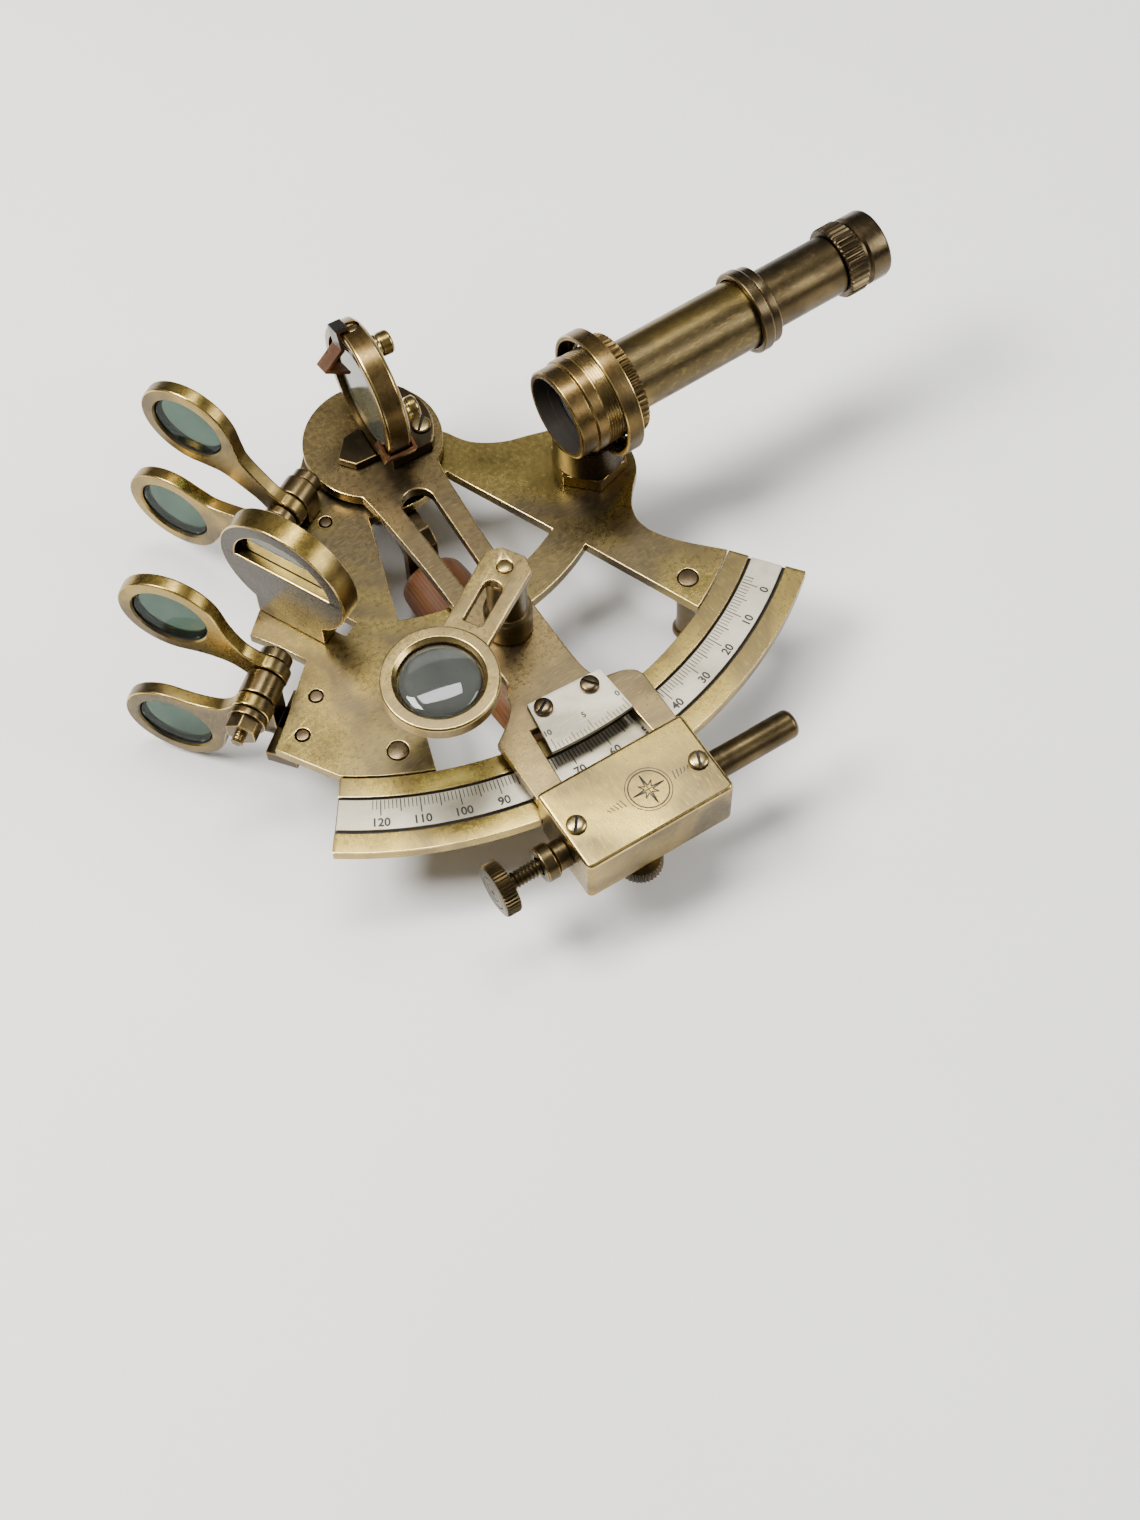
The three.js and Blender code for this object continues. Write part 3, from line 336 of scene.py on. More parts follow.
def done(o, name, body, nodes, mats, M=I4, sharp=32, edgeband=None, wn=True, cuts=None):
    """put a finished local piece in the shared frame, with its materials, on its body"""
    o.name = name; o.data.name = name
    me = o.data
    if edgeband:                            # faces whose normal is neither flat nor upright in the piece's own axis take slot 1, the lighter edge material: a painted highlight along with edge wear
        ax = Vector(edgeband)
        for p in me.polygons:
            d = abs(p.normal.dot(ax))
            p.material_index = 1 if 0.2 < d < 0.97 else 0
    me.transform(SHARED @ M)
    mi = [min(p.material_index, len(mats) - 1) for p in me.polygons]
    me.materials.clear()
    for m in mats: me.materials.append(MAT[m])
    for p, k in zip(me.polygons, mi): p.material_index = k; p.use_smooth = True
    me.set_sharp_from_angle(angle=sharp * D)
    if wn:
        w = o.modifiers.new('normals', 'WEIGHTED_NORMAL'); w.keep_sharp = True; w.weight = 60
    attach(o, body)
    if nodes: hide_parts(*([nodes] if isinstance(nodes, str) else nodes))
    made.append(o)
    return o
up = lambda az, x=0.0, y=0.0: Tr(x, y) @ Rz(az)
def rnd(prof, n=96, u=0.0, z=0.0, **k): return lathe(prof, n, M=Tr(0, u, z) @ ALONGX, **k)   # turned about the local n axis

# ================================================================ frame
out = (arc(17.2, 150, -14, 60)
       + catmull([(17.0, -4.1), (19.8, -9.6), (23.3, -13.0), (27.9, -15.6), (32.4, -17.0), (37.6, -18.6), (44.2, -20.6), (49.4, -26.0),
                  (51.6, -33.2), (49.8, -39.9), (45.4, -44.6), (42.4, -48.6), (41.2, -53.0), (42.4, -57.8), (46.4, -63.8), pol(89.7, LA1)], 6)[2:]
       + arc(89.7, -56, -64.5, 12) + [(26.9, -51.6)] + arc(58.2, -64.5, -115.2, 50) + [(-34.8, -82.6)]
       + arc(89.7, -114.6, LA0, 16) + [(-62.1, -57.8), (-54.6, -51.1), (-44.2, -41.5), (-47.6, -34.4), (-51.4, -28.2), (-45.4, -22.9)]
       + catmull([(-45.4, -22.9), (-31.4, -9.4), (-25.2, -0.8), (-18.4, 5.0), pol(17.2, 150)], 5)[1:-1])
win = [(11.2, -15.2)] + arc(49.0, -62.2, -115.2, 50) + [(-11.4, -16.2)] + arc(18.6, -118, -56, 16)
SP = [(-47.2, -51.0), (-55.0, -58.0)]
mort = filletpoly([(-35.0, -37.2), (-31.2, -35.3), (-29.3, -39.3), (-33.2, -41.2)], 0.3, 2)
o = plate(out, [win, arc(4.4, 0, 352, 44), arc(2.5, 0, 350, 32, *LEG_R), arc(2.5, 0, 350, 32, *LEG_L), mort[::-1],
                arc(1.75, 0, 350, 36, *SP[0]), arc(1.75, 0, 350, 36, *SP[1]), arc(1.6, 0, 350, 24, -20.5, -11.1), arc(4.4, 0, 350, 32, STEM_X, STEM_Y),
                arc(1.9, 0, 350, 24, -23.707, -4.882)],
          FZ0, FZ1, 0.22)
done(o, 'frame_plate_v', 'frame', 'frame_plate', ['plate', 'edge'], edgeband=(0, 0, 1))
# limb: the graduated arc with a recess for the scale strip, on the plate
sec = [(90, FZ0), (109, FZ0), (109, FZ1), (103.95, FZ1), (103.95, 22.6), (95.05, 22.6), (95.05, FZ1), (90, FZ1)]
o = bevel(sweep(sec, LA0, LA1, 150), 0.28)
# recess walls and floor round the scale strip take the dark groove material: painted shade in the gap, with dirt
for p in o.data.polygons:
    c_ = p.center; r_ = math.hypot(c_.x, c_.y)
    if SC_IN - .5 < r_ < SC_OUT + .5 and 22.3 < c_.z < 23.2 or 22.3 < c_.z < 22.8 and p.normal.z > .9: p.material_index = 2
done(o, 'limb_v', 'frame', 'limb', ['gold', 'edge', 'groove'])
o = bevel(sweep([(SC_IN + .35, 22.7), (SC_OUT - .35, 22.7), (SC_OUT - .35, 23.55), (SC_IN + .35, 23.55)], LA0 + 0.2, LA1 - 0.2, 150), 0.08)
done(o, 'scale_strip_v', 'frame', 'scale_strip', ['silver', 'silver'])

def marks(name, body, items, z, M=I4, slot='s', mat='ink', th=0.03):
    """thin inlaid lines: items are polygons in the piece's plane"""
    bm = bmesh.new()
    for pts in items:
        lo = [bm.verts.new(M @ Vector((x, y, z))) for x, y in pts]; hi = [bm.verts.new(M @ Vector((x, y, z + th))) for x, y in pts]
        bm.faces.new(lo[::-1]); bm.faces.new(hi)
        for i in range(len(pts)): j = (i + 1) % len(pts); bm.faces.new([lo[i], lo[j], hi[j], hi[i]])
    return bm_obj(bm)
def line(p, q, w):
    d = (Vector(q) - Vector(p)); n = Vector((-d.y, d.x)).normalized() * w / 2
    return [tuple(Vector(p) - n), tuple(Vector(q) - n), tuple(Vector(q) + n), tuple(Vector(p) + n)]
def text(s, size, M, th=0.02, bold=0.012):
    cu = bpy.data.curves.new('t', 'FONT'); cu.body = s; cu.size = size; cu.align_x = 'CENTER'; cu.align_y = 'CENTER'
    cu.extrude = th; cu.offset = bold * size; cu.resolution_u = 4
    o = bpy.data.objects.new('t', cu); col.objects.link(o)
    bpy.context.view_layer.update()
    me = bpy.data.meshes.new_from_object(o.evaluated_get(bpy.context.evaluated_depsgraph_get()))
    bpy.data.objects.remove(o)
    o = bpy.data.objects.new('t', me); col.objects.link(o); me.transform(M)
    return o
A120, A0 = -120.9, -57.8
sang = lambda v: A0 + (A120 - A0) * v / 120.0
ticks = []
for v in range(-2, 123):
    a = sang(v); L = 3.9 if v % 10 == 0 else 3.1 if v % 5 == 0 else 2.3
    ticks.append(line(pol(SC_IN + 0.5, a), pol(SC_IN + 0.5 + L, a), 0.21 if v % 5 else 0.27))
objs = [marks('t', 'frame', ticks, 23.54)]
for v in range(0, 121, 10):
    a = sang(v); x, y = pol(SC_IN + 6.15, a)
    objs.append(text(str(v), 2.85, Tr(x, y, 23.56) @ Rz(a + 90), bold=0.028))
o = merge(*objs)
done(o, 'scale_marks', 'frame', [], ['ink'], wn=False)

legp = [[0, 0], [2.0, 0], [2.7, 0.25], [3.2, 0.9], [3.2, 2.0], [2.8, 2.7], [2.4, 3.2], [2.3, 8], [2.5, 16.6], [3.2, 17.2], [4.2, 18.0], [4.2, 20.2], [2.3, 20.2], [2.3, 23.42], [2.2, 23.53], [0, 23.54]]
for nm, p in (('leg_right', LEG_R), ('leg_left', LEG_L)):
    o = bevel(lathe(legp, 64, M=Tr(*p)), 0.12)
    for f in o.data.polygons:
        if f.center.z > 23.3: f.material_index = 2
    done(o, nm + '_v', 'frame', nm, ['dark', 'dedge', 'dscrew'])
done(bevel(lathe([[0, 0], [5.2, 0], [6.2, 1.0], [6.2, 3.0], [6.6, 4.0], [8.2, 5.4], [8.6, 6.4], [8.8, 15.0], [9.4, 15.8], [12.3, 17.2], [12.6, 17.8], [12.6, 20.2], [4.0, 20.2], [4.0, 7.0], [0, 7.0]], 96), 0.25),
     'pivot_bearing_v', 'frame', 'pivot_bearing', ['bronze', 'dedge'])
gp = catmull([(0, 0), (4.6, 0.1), (7.4, 1.6), (8.4, 5.0), (8.8, 18), (8.9, 28), (8.6, 40), (8.0, 50), (6.8, 54.2), (4.4, 55.8), (0, 56)], 5)
gp = [(max(r, 0), min(max(z, 0), 56)) for r, z in gp]; gp[0] = (0, 0); gp[-1] = (0, 56)
o = lathe(gp, 96, M=Tr(-4, -28, 8.6) @ Matrix.Diagonal((1, 1, 0.76, 1)) @ Matrix.Rotation(math.pi / 2, 4, 'X'))
boole(o, [lathe([(0, 10.6), (3.0, 10.6), (3.0, 20), (0, 20)], 32, M=Tr(-4, -53.6))])
done(o, 'grip_v', 'frame', 'grip', ['wood'], sharp=40)
done(bevel(lathe([[0, 10.9], [2.7, 10.9], [2.7, 17.0], [4.2, 18.0], [4.2, 20.2], [0, 20.2]], 48, M=Tr(-4, -53.6)), 0.2), 'grip_post_v', 'frame', 'grip_post', ['dark', 'dedge'])
br = filletpoly([(-27.6, 3.6), (-27.6, 17.4), (-24.2, 20.2), (-13.6, 20.2), (-13.6, 18.2), (-23.4, 18.2), (-25.4, 16.6), (-25.4, 3.6)], [.6, 1.5, 1.5, .2, .2, .8, .8, .6], 4)
o = bevel(extr(br, -4 - 4.2, -4 + 4.2, M=UZ), 0.3)
boole(o, [lathe([(0, 0), (1.8, 0), (1.8, 6), (0, 6)], 32, M=Tr(-4, -23.6, 8.6) @ Matrix.Rotation(math.pi / 2, 4, 'X'))])
done(o, 'grip_bracket_v', 'frame', 'grip_bracket', ['dark', 'dedge'])
def slotscrew(r, h, w=0.7, ang=0.0, dome=0.25, depth=0.65, shank=1.2, n=48):
    o = lathe([[0, -3.6], [shank, -3.6], [shank, 0], [r, 0], [r, h - 0.35], [r - 0.3, h - 0.06], [r * .55, h + dome * .7], [0, h + dome]], n)
    o = bevel(o, 0.1, 2, 32)
    boole(o, [boxm(-r - 1, r + 1, -w / 2, w / 2, h + dome - depth, h + 2)])
    # slot walls and floor take the dark groove material: painted shade in the slot, with dirt
    for p in o.data.polygons:
        c_ = p.center
        if abs(c_.y) < w / 2 + .02 and h + dome - depth - .02 < c_.z < h + dome - .05 and math.hypot(c_.x, c_.y) < r - .03: p.material_index = 2
    return move(o, Matrix.Rotation(ang, 4, 'Z'))
o = slotscrew(3.0, 1.8, 0.8, 0.5, shank=1.4)
done(move(o, Tr(-4, -25.1, 8.6) @ Matrix.Rotation(-math.pi / 2, 4, 'X')), 'grip_screw_v', 'frame', 'grip_screw', ['screw', 'edge', 'groove'])

# ================================================================ horizon mirror
hm = arc(HM_R, -56, 236, 90, 0, HM_Z) + [(-9.4, 23.8), (9.4, 23.8)]
hw = filletpoly(arc(12.8, 2, 178, 50, 0, HM_Z), 0.0)
o = plate(hm, [hw], -HM_T / 2, HM_T / 2, 0.35, 2, M=UZ)
for p in o.data.polygons: p.material_index = 0
o.data.materials.append(MAT['brass']); o.data.materials.append(MAT['edge']); o.data.materials.append(MAT['steel'])
boole(o, [rnd([[0, -0.6], [13.2, -0.6], [13.2, 6], [0, 6]], 96, 0, HM_Z)])
for p in o.data.polygons:
    nx = p.normal.x; c = p.center
    p.material_index = 2 if nx < -0.97 else 1 if 0.2 < abs(nx) < 0.97 else 0
done(o, 'horizon_frame_v', 'frame', 'horizon_frame', ['brass', 'edge', 'steel'], M=up(HM_AZ, HM_X, HM_Y))
done(bevel(rnd([[0, -0.4], [12.9, -0.4], [12.9, 1.6], [0, 1.6]], 96, 0, HM_Z), 0.2), 'horizon_glass_v', 'frame', 'horizon_glass', ['mirror', 'mirror'], M=up(HM_AZ, HM_X, HM_Y))
# end points of the scribed line on the base corner in front of the mirror; the line and the small oval hole are not
# drawn
a_, b_ = (-46.6, -33.6), (-36.6, -28.6)

# ================================================================ shades
nu = lambda az, n, u: (n * math.cos(az * D) - u * math.sin(az * D), n * math.sin(az * D) + u * math.cos(az * D))
def paddle(L):
    up_ = [(3.02, 3.6), (5.4, 3.2), (8.2, 3.3), (L - 14.6, 4.6), (L - 11.4, 6.6)]
    o = arc(4.7, 50, 310, 40)
    low = catmull([(3.02, -3.6)] + [(a, -b) for a, b in up_[1:]] + [(L + SH_R * math.cos(228 * D), SH_R * math.sin(228 * D))], 6)
    ring = arc(SH_R, -132, 132, 90, L, 0)
    return o + low[1:-1] + ring + [(a, -b) for a, b in low[1:-1]][::-1]
def shade(k, az, n0, u0, rest, L):
    tilt = Matrix.Rotation(rest * D, 4, 'X')
    px, py = nu(az, n0, u0)
    M = Tr(px, py, PIN_Z) @ Rz(az) @ tilt
    o = plate(paddle(L), [arc(1.9, 0, 350, 32), arc(SH_IN - 0.9, 0, 356, 80, L, 0)], -SH_T / 2, SH_T / 2, 0.5, 3, M=UZ)
    for p in o.data.polygons: p.material_index = 1 if 0.2 < abs(p.normal.x) < 0.97 else 0
    o.data.materials.append(MAT['brass']); o.data.materials.append(MAT['edge']); o.data.materials.append(MAT['groove'])
    cutr = rnd([[0, -5], [SH_IN + 0.35, -5], [SH_IN + 0.35, -SH_T / 2 + 0.02], [SH_IN, -SH_T / 2 + 0.4], [SH_IN, 0.9], [0, 0.9]], 96, L, 0)
    boole(o, [cutr])
    # the recess wall round the glass takes the dark groove material: painted shade there, with dirt
    for p in o.data.polygons:
        c = p.center; r = math.hypot(c.y - L, c.z)
        if abs(r - SH_IN) < 0.15 and abs(p.normal.x) < 0.2 and -1.2 < c.x < 0.95: p.material_index = 2
    done(o, 'shade_%s_frame_v' % k, k.split('_')[0] + '_shade_' + k[-1], 'shade_%s_frame' % k, ['brass', 'edge', 'groove'], M=M)
    g = bevel(rnd([[0, -1.0], [SH_IN - 0.25, -1.0], [SH_IN - 0.25, 0.7], [0, 0.7]], 96, L, 0), 0.15)
    done(g, 'shade_%s_glass_v' % k, k.split('_')[0] + '_shade_' + k[-1], 'shade_%s_glass' % k, ['shade', 'shade'], M=M)
shade('index_1', IS_AZ, IS_N, IS_U, IS_A, IS_L)
shade('index_2', IS_AZ, IS_N - IS_GAP, IS_U, IS_B, IS_L)
shade('horizon_1', HS_AZ, HS_N, HS_U, HS_C, HS_L)
shade('horizon_2', HS_AZ, HS_N - HS_GAP, HS_U, HS_D, HS_L)

def thread_prof(x0, x1, r, d, pitch=0.8):
    o, x, s = [], x0, (1 if x1 > x0 else -1)
    while (x1 - x) * s > 0: o += [[r, x], [r - d, x + s * pitch / 2]]; x += s * pitch
    return o + [[r, x1]]
def pin(name, az, u, nA, nB, hN, washer, nut, rW, rN, thr):
    sh = lathe([[0, nB], [1.1, nB]] + thread_prof(nB + 0.3, thr, 1.5, 0.22) + [[1.5, nA], [hN, nA], [hN, nA + 2.2], [hN - 0.5, nA + 2.7], [0, nA + 2.7]], 48, M=ALONGX)
    sh = bevel(sh, 0.12)
    w = bevel(lathe([[0, washer[0]], [rW, washer[0]], [rW, washer[1]], [0, washer[1]]], 56, M=ALONGX), 0.25)
    nt = bevel(extr(arc(rN, 0, 300, 5), nut[0], nut[1], M=ALONGX), 0.35)
    sl = boole(sh, [boxm(nA + 1.7, nA + 4, -0.4, 0.4, -6, 6)])
    done(merge(sl, w, nt), name + '_v', 'frame', name, ['dark', 'dedge'], M=Rz(az) @ Tr(0, u, PIN_Z))
pin('index_shade_pin', IS_AZ, IS_U, -20.2, -41.4, 3.6, [-31.9, -29.9], [-38.9, -36.2], 3.9, 3.7, -38.0)
pin('horizon_shade_pin', HS_AZ, HS_U, -66.9, -88.8, 3.9, [-83.1, -81.4], [-86.4, -83.0], 4.6, 4.0, -84.0)
b1 = bevel(boxm(-25.8, -20.6, 2.6, 11.2, 23.8, 30.5), 0.5)
b2 = bevel(rnd([[0, -25.8], [4.3, -25.8], [4.3, -20.6], [0, -20.6]], 64, IS_U, PIN_Z), 0.4)
b3 = bevel(boxm(-25.6, -21.0, -2.4, 9.2, 17.9, 20.2), 0.3)
b4 = bevel(lathe([[0, 19.0], [1.35, 19.0], [1.35, 23.45], [1.25, 23.53], [0, 23.54]], 32, M=Rz(-IS_AZ) @ Tr(-20.5, -11.1)), 0.06)
for p in b4.data.polygons: p.material_index = 2
b5 = lathe([[0, 19.0], [1.6, 19.0], [1.6, 24.5], [0, 24.5]], 32, M=Tr(-23.2, 6.9))
done(merge(b1, b2, b3, b4, b5), 'index_shade_bracket_v', 'frame', 'index_shade_bracket', ['dark', 'dedge', 'dscrew'], M=Rz(IS_AZ))
c1 = bevel(boxm(-77.2, -71.2, -5.55, 2.6, 17.0, 29.5), 0.5)
c2 = bevel(rnd([[0, -77.2], [4.5, -77.2], [4.5, -71.2], [0, -71.2]], 64, HS_U, PIN_Z), 0.45)
c3 = bevel(boxm(-84.0, -66.6, -13.0, -5.4, 16.2, 20.05), 0.3)
c4 = bevel(boxm(-77.2, -71.2, -8.0, 2.6, 16.2, 20.05), 0.3)
done(merge(c1, c2, c3, c4), 'horizon_shade_bracket_v', 'frame', 'horizon_shade_bracket', ['dark', 'dedge'], M=Rz(HS_AZ))
for i, (x, y) in enumerate(SP):
    done(bevel(lathe([[0, 18.0], [1.45, 18.0], [1.45, 23.45], [1.35, 23.53], [0, 23.54]], 36, M=Tr(x, y)), 0.08), 'bracket_rivet_%d_v' % (i + 1), 'frame', 'bracket_rivet_%d' % (i + 1), ['dscrew', 'dscrew'])

# ================================================================ telescope
o = bevel(boole(extr(arc(9.3, 14, 314, 5), 23.8, 27.6), [lathe([(0, 20), (5.2, 20), (5.2, 30), (0, 30)], 48)]), 0.1)
o = boole(o, [lathe([(9.6, 22), (12, 22), (12, 30), (9.6, 30), (8.5, 27.9), (9.6, 26.6), (9.6, 22)], 96)])
done(o, 'scope_nut_v', 'frame', 'scope_nut', ['ring', 'edge'], M=Tr(STEM_X, STEM_Y))
ring = lathe([[12.2, 2.2], [12.2, 0.9], [14.2, 0.9], [14.2, -2.1], [15.4, -2.1], [15.4, 2.2], [12.2, 2.2]], 128, M=Tr(STEM_X + 2, TEL_Y, TEL_Z) @ ALONGX)
ring = bevel(ring, 0.3)
bore = lambda: lathe([(0, -30), (14.6, -30), (14.6, 30), (0, 30)], 96, M=Tr(STEM_X + 2, TEL_Y, TEL_Z) @ ALONGX)
st = lathe([[0, 17.6], [3.9, 17.6], [3.9, 27.9], [8.3, 27.9], [8.7, 28.3], [8.7, 41.2], [0, 41.2]], 96, M=Tr(STEM_X, STEM_Y))
st = boole(st, [bore(), boxm(STEM_X + 4.2, STEM_X + 12, STEM_Y - 12, STEM_Y + 12, 33.5, 60)])
st = bevel(st, 0.25)
sn = bevel(extr(arc(7.4, 0, 300, 5), 17.5, 20.2, M=Tr(STEM_X, STEM_Y)), 0.4)
# inward faces of the holder ring and the stem take the near-black material: painted shade; low stem bevels take the
# dark edge
for p in ring.data.polygons:
    c_ = Vector((0, p.center.y - TEL_Y, p.center.z - TEL_Z))
    if p.normal.dot(c_) < -0.5 * c_.length: p.material_index = 2
for p in st.data.polygons: p.material_index = 3 if p.material_index == 1 and 0.2 < abs(p.normal.z) < 0.97 and p.center.z < 30 else 2
for m_ in (ring, st):
    while len(m_.data.materials) < 4: m_.data.materials.append(MAT['dark'])
done(merge(ring, st, sn), 'scope_holder_v', 'frame', 'scope_holder', ['ring', 'edge', 'black', 'dedge'])
TM = Tr(0, TEL_Y, TEL_Z) @ ALONGX
tx = lambda prof, n=128, **k: lathe(prof, n, M=TM, **k)
obj = tx([[9.6, 31.0], [10.7, 31.0], [11.1, 31.3], [11.1, 35.2], [10.9, 35.35], [11.2, 35.5], [11.6, 35.8], [11.6, 38.2], [11.1, 38.5]] + [[11.1 + (0.45 if i % 2 else 0), 38.7 + i * 0.36] for i in range(0, 18)]
          + [[11.1, 45.2], [9.4, 45.2], [9.4, 36.6], [9.0, 36.6], [9.0, 34.4], [9.4, 34.4], [9.6, 31.0]])
obj = bevel(obj, 0.16)
# faces inside the objective cell take the dark groove material: painted shade in the bore, with dirt
for p in obj.data.polygons:
    c_ = p.center; r_ = math.hypot(c_.y - TEL_Y, c_.z - TEL_Z)
    if r_ < 9.62: p.material_index = 2
done(obj, 'scope_objective_v', 'frame', 'scope_objective', ['ring', 'edge', 'groove'])
done(tx([[0, 36.9], [9.1, 36.9], [9.1, 38.2], [7.6, 38.8], [5.4, 39.2], [2.6, 39.5], [0, 39.6]], 64), 'scope_front_lens_v', 'frame', 'scope_front_lens', ['lens'])
kn = tx([[9.0, 45.6], [11.6, 45.6], [12.1, 45.75], [12.5, 46.2], [12.5, 48.5], [12.1, 48.95], [11.6, 49.1], [9.0, 49.1], [9.0, 45.6]], mod=[0, 0, .3, 1, 1, .3, 0, 0], teeth=56, depth=0.6)
done(kn, 'scope_lock_ring_v', 'frame', 'scope_lock_ring', ['ring'], sharp=25)
done(bevel(tx([[7.7, 45.6], [8.6, 45.6], [8.6, 86.2], [7.7, 86.2], [7.7, 45.6]]), 0.1), 'scope_tube_v', 'frame', 'scope_tube', ['brass', 'edge'])
er = tx([[8.9, 83.2], [10.0, 83.2], [10.3, 83.5], [10.3, 85.9], [10.0, 86.3], [9.55, 86.5], [9.7, 86.8], [9.7, 88.5], [9.4, 88.8], [7.9, 88.8], [7.9, 86.5], [8.9, 86.5], [8.9, 83.2]])
done(bevel(er, 0.12), 'scope_end_ring_v', 'frame', 'scope_end_ring', ['bronze', 'dedge'])
done(bevel(tx([[6.7, 58.0], [7.4, 58.0], [7.4, 109.4], [6.7, 109.4], [6.7, 58.0]], 96), 0.08), 'draw_tube_v', 'draw_tube', 'draw_tube', ['dark', 'dedge'])
ec = tx([[4.2, 104.4], [6.4, 104.4], [6.4, 109.7], [8.3, 109.7], [8.7, 110.0], [8.9, 110.4], [8.9, 114.6], [8.6, 115.0], [8.0, 115.3], [7.9, 116.0], [8.6, 116.6], [8.6, 121.0], [8.3, 121.7], [7.7, 122.0], [7.1, 121.9], [5.6, 121.2], [4.6, 120.4], [4.2, 119.8], [4.2, 104.4]],
        mod=[0, 0, 0, 0, .4, 1, 1, .4, 0, 0, 0, 0, 0, 0, 0, 0, 0, 0], teeth=44, depth=0.5)
done(ec, 'eyepiece_cap_v', 'draw_tube', 'eyepiece_cap', ['bronze'], sharp=28)
done(tx([[0, 115.6], [3.9, 115.6], [3.9, 117.1], [2.2, 117.5], [0, 117.6]], 48), 'eye_lens_v', 'draw_tube', 'eye_lens', ['lens'])

# ================================================================ index arm (arm frame: centreline along -Y)
ao = (arc(17.0, 232, -52, 90)
      + catmull([(10.47, -13.4), (9.7, -17.6), (9.3, -24.0), (8.4, -38.0), (8.1, -55.0), (8.1, -70.0), (8.4, -79.0), (9.2, -83.2), (11.0, -85.6), (13.6, -86.2), (16.2, -86.9), (18.4, -88.4), (19.2, -90.4)], 4)[1:]
      + [(19.2, -105.0), (-18.3, -105.0), (-18.3, -87.8)]
      + catmull([(-18.3, -87.8), (-15.8, -86.0), (-13.0, -83.6), (-10.9, -81.0), (-9.9, -78.4)], 5)[1:] + [(-9.9, -77.4), (-8.6, -76.6)]
      + catmull([(-8.3, -75.0), (-8.1, -58.0), (-8.2, -42.0), (-9.2, -26.0), (-9.8, -18.6), (-10.47, -13.4)], 4)[:-1])
slot_ = arc(4.0, 0, 180, 24, 0, -21.8) + filletpoly([(-4.0, -22.0), (-3.2, -48.6), (3.2, -48.6), (4.0, -22.0)], [0, 1.0, 1.0, 0], 4)[1:-1]
hwin = filletpoly(arc(89.6, -96.6, -82.6, 10) + arc(104.6, -83.0, -96.2, 10), 0.0)
o = plate(ao, [slot_, hwin, arc(4.3, 0, 350, 40), arc(1.5, 0, 345, 20, -5.2, -86.3), arc(1.5, 0, 345, 20, 6.7, -86.9), arc(2.0, 0, 345, 24, 0, MAG_PY)], AZ0, AZ1, 0.35, 3)
done(o, 'index_arm_v', 'index_arm', 'index_arm', ['arm', 'edge'], M=ARMM, edgeband=(0, 0, 1))
o = lathe([[0, 8.0], [3.7, 8.0], [3.7, 23.8], [12.0, 23.8], [12.0, 24.7], [4.0, 24.7], [4.0, 27.9], [3.7, 28.15], [0, 28.2]], 64)
done(bevel(o, 0.12), 'index_axle_v', 'index_arm', 'index_axle', ['dark', 'dedge'], M=ARMM)
vo = arc(97.4, -95.6, -82.9, 24) + [(11.0, -84.3), (-7.9, -83.5)]
o = plate(vo, [arc(1.5, 0, 345, 20, -5.2, -86.3), arc(1.5, 0, 345, 20, 6.7, -86.9)], AZ1 + 0.3, AZ1 + 1.5, 0.12, 1)
done(o, 'vernier_plate_v', 'index_arm', 'vernier_plate', ['silver', 'silver'], M=ARMM)
vt = []
for i in range(0, 21):
    a = -94.9 + i * 0.58; L = 3.0 if i % 10 == 0 else 2.3 if i % 5 == 0 else 1.5
    vt.append(line(pol(97.25, a), pol(97.25 - L, a), 0.17))
ob = [marks('t', 'x', vt, AZ1 + 1.49)]
for k, s in ((0, '10'), (10, '5'), (20, '0')):
    a = -94.9 + k * 0.58; x, y = pol(92.7, a)
    ob.append(text(s, 2.0, Tr(x, y, AZ1 + 1.51) @ Rz(a + 90), bold=0.025))
done(merge(*ob), 'vernier_marks', 'index_arm', [], ['ink'], M=ARMM, wn=False)
done(move(slotscrew(2.25, 0.9, 0.75, 0.5, 0.2), Tr(-5.2, -86.3, AZ1 + 1.8)), 'vernier_screw_1_v', 'index_arm', 'vernier_screw_1', ['dscrew', 'dedge', 'groove'], M=ARMM)
done(move(slotscrew(2.25, 0.9, 0.75, -0.9, 0.2), Tr(6.7, -86.9, AZ1 + 1.8)), 'vernier_screw_2_v', 'index_arm', 'vernier_screw_2', ['dscrew', 'dedge', 'groove'], M=ARMM)

# block on the limb, with two cover screws and a plain star engraved on top
X0, X1, Y0, Y1, Z0, Z1 = -19.0, 19.0, -127.2, -105.4, 17.6, 32.4
o = bevel(extr(filletpoly([(X0, Y0), (X1, Y0), (X1, Y1), (X0, Y1)], [1.6, 1.6, 1.2, 1.2], 6), Z0, Z1), 1.0, 4, 50, 1)
cutl = sweep([(99, 10), (109.5, 10), (109.5, FZ1 + 0.5), (99, FZ1 + 0.5)], -115, -65, 60)
boole(o, [cutl, lathe([(0, X0 - 1), (2.6, X0 - 1), (2.6, -4), (0, -4)], 48, M=Tr(0, SCR_Y, SCR_Z) @ ALONGX),
          lathe([(0, 6), (2.6, 6), (2.6, X1 + 1), (0, X1 + 1)], 48, M=Tr(0, SCR_Y, SCR_Z) @ ALONGX),
          lathe([(0, 10), (2.1, 10), (2.1, 21.6), (0, 21.6)], 32, M=Tr(-3.5, -123.6)),
          lathe([(0, BZ1 - 5), (1.5, BZ1 - 5), (1.5, BZ1 + 1), (0, BZ1 + 1)], 32, M=Tr(-15.6, -116.6)),
          lathe([(0, BZ1 - 5), (1.5, BZ1 - 5), (1.5, BZ1 + 1), (0, BZ1 + 1)], 32, M=Tr(15.6, -117.6))])
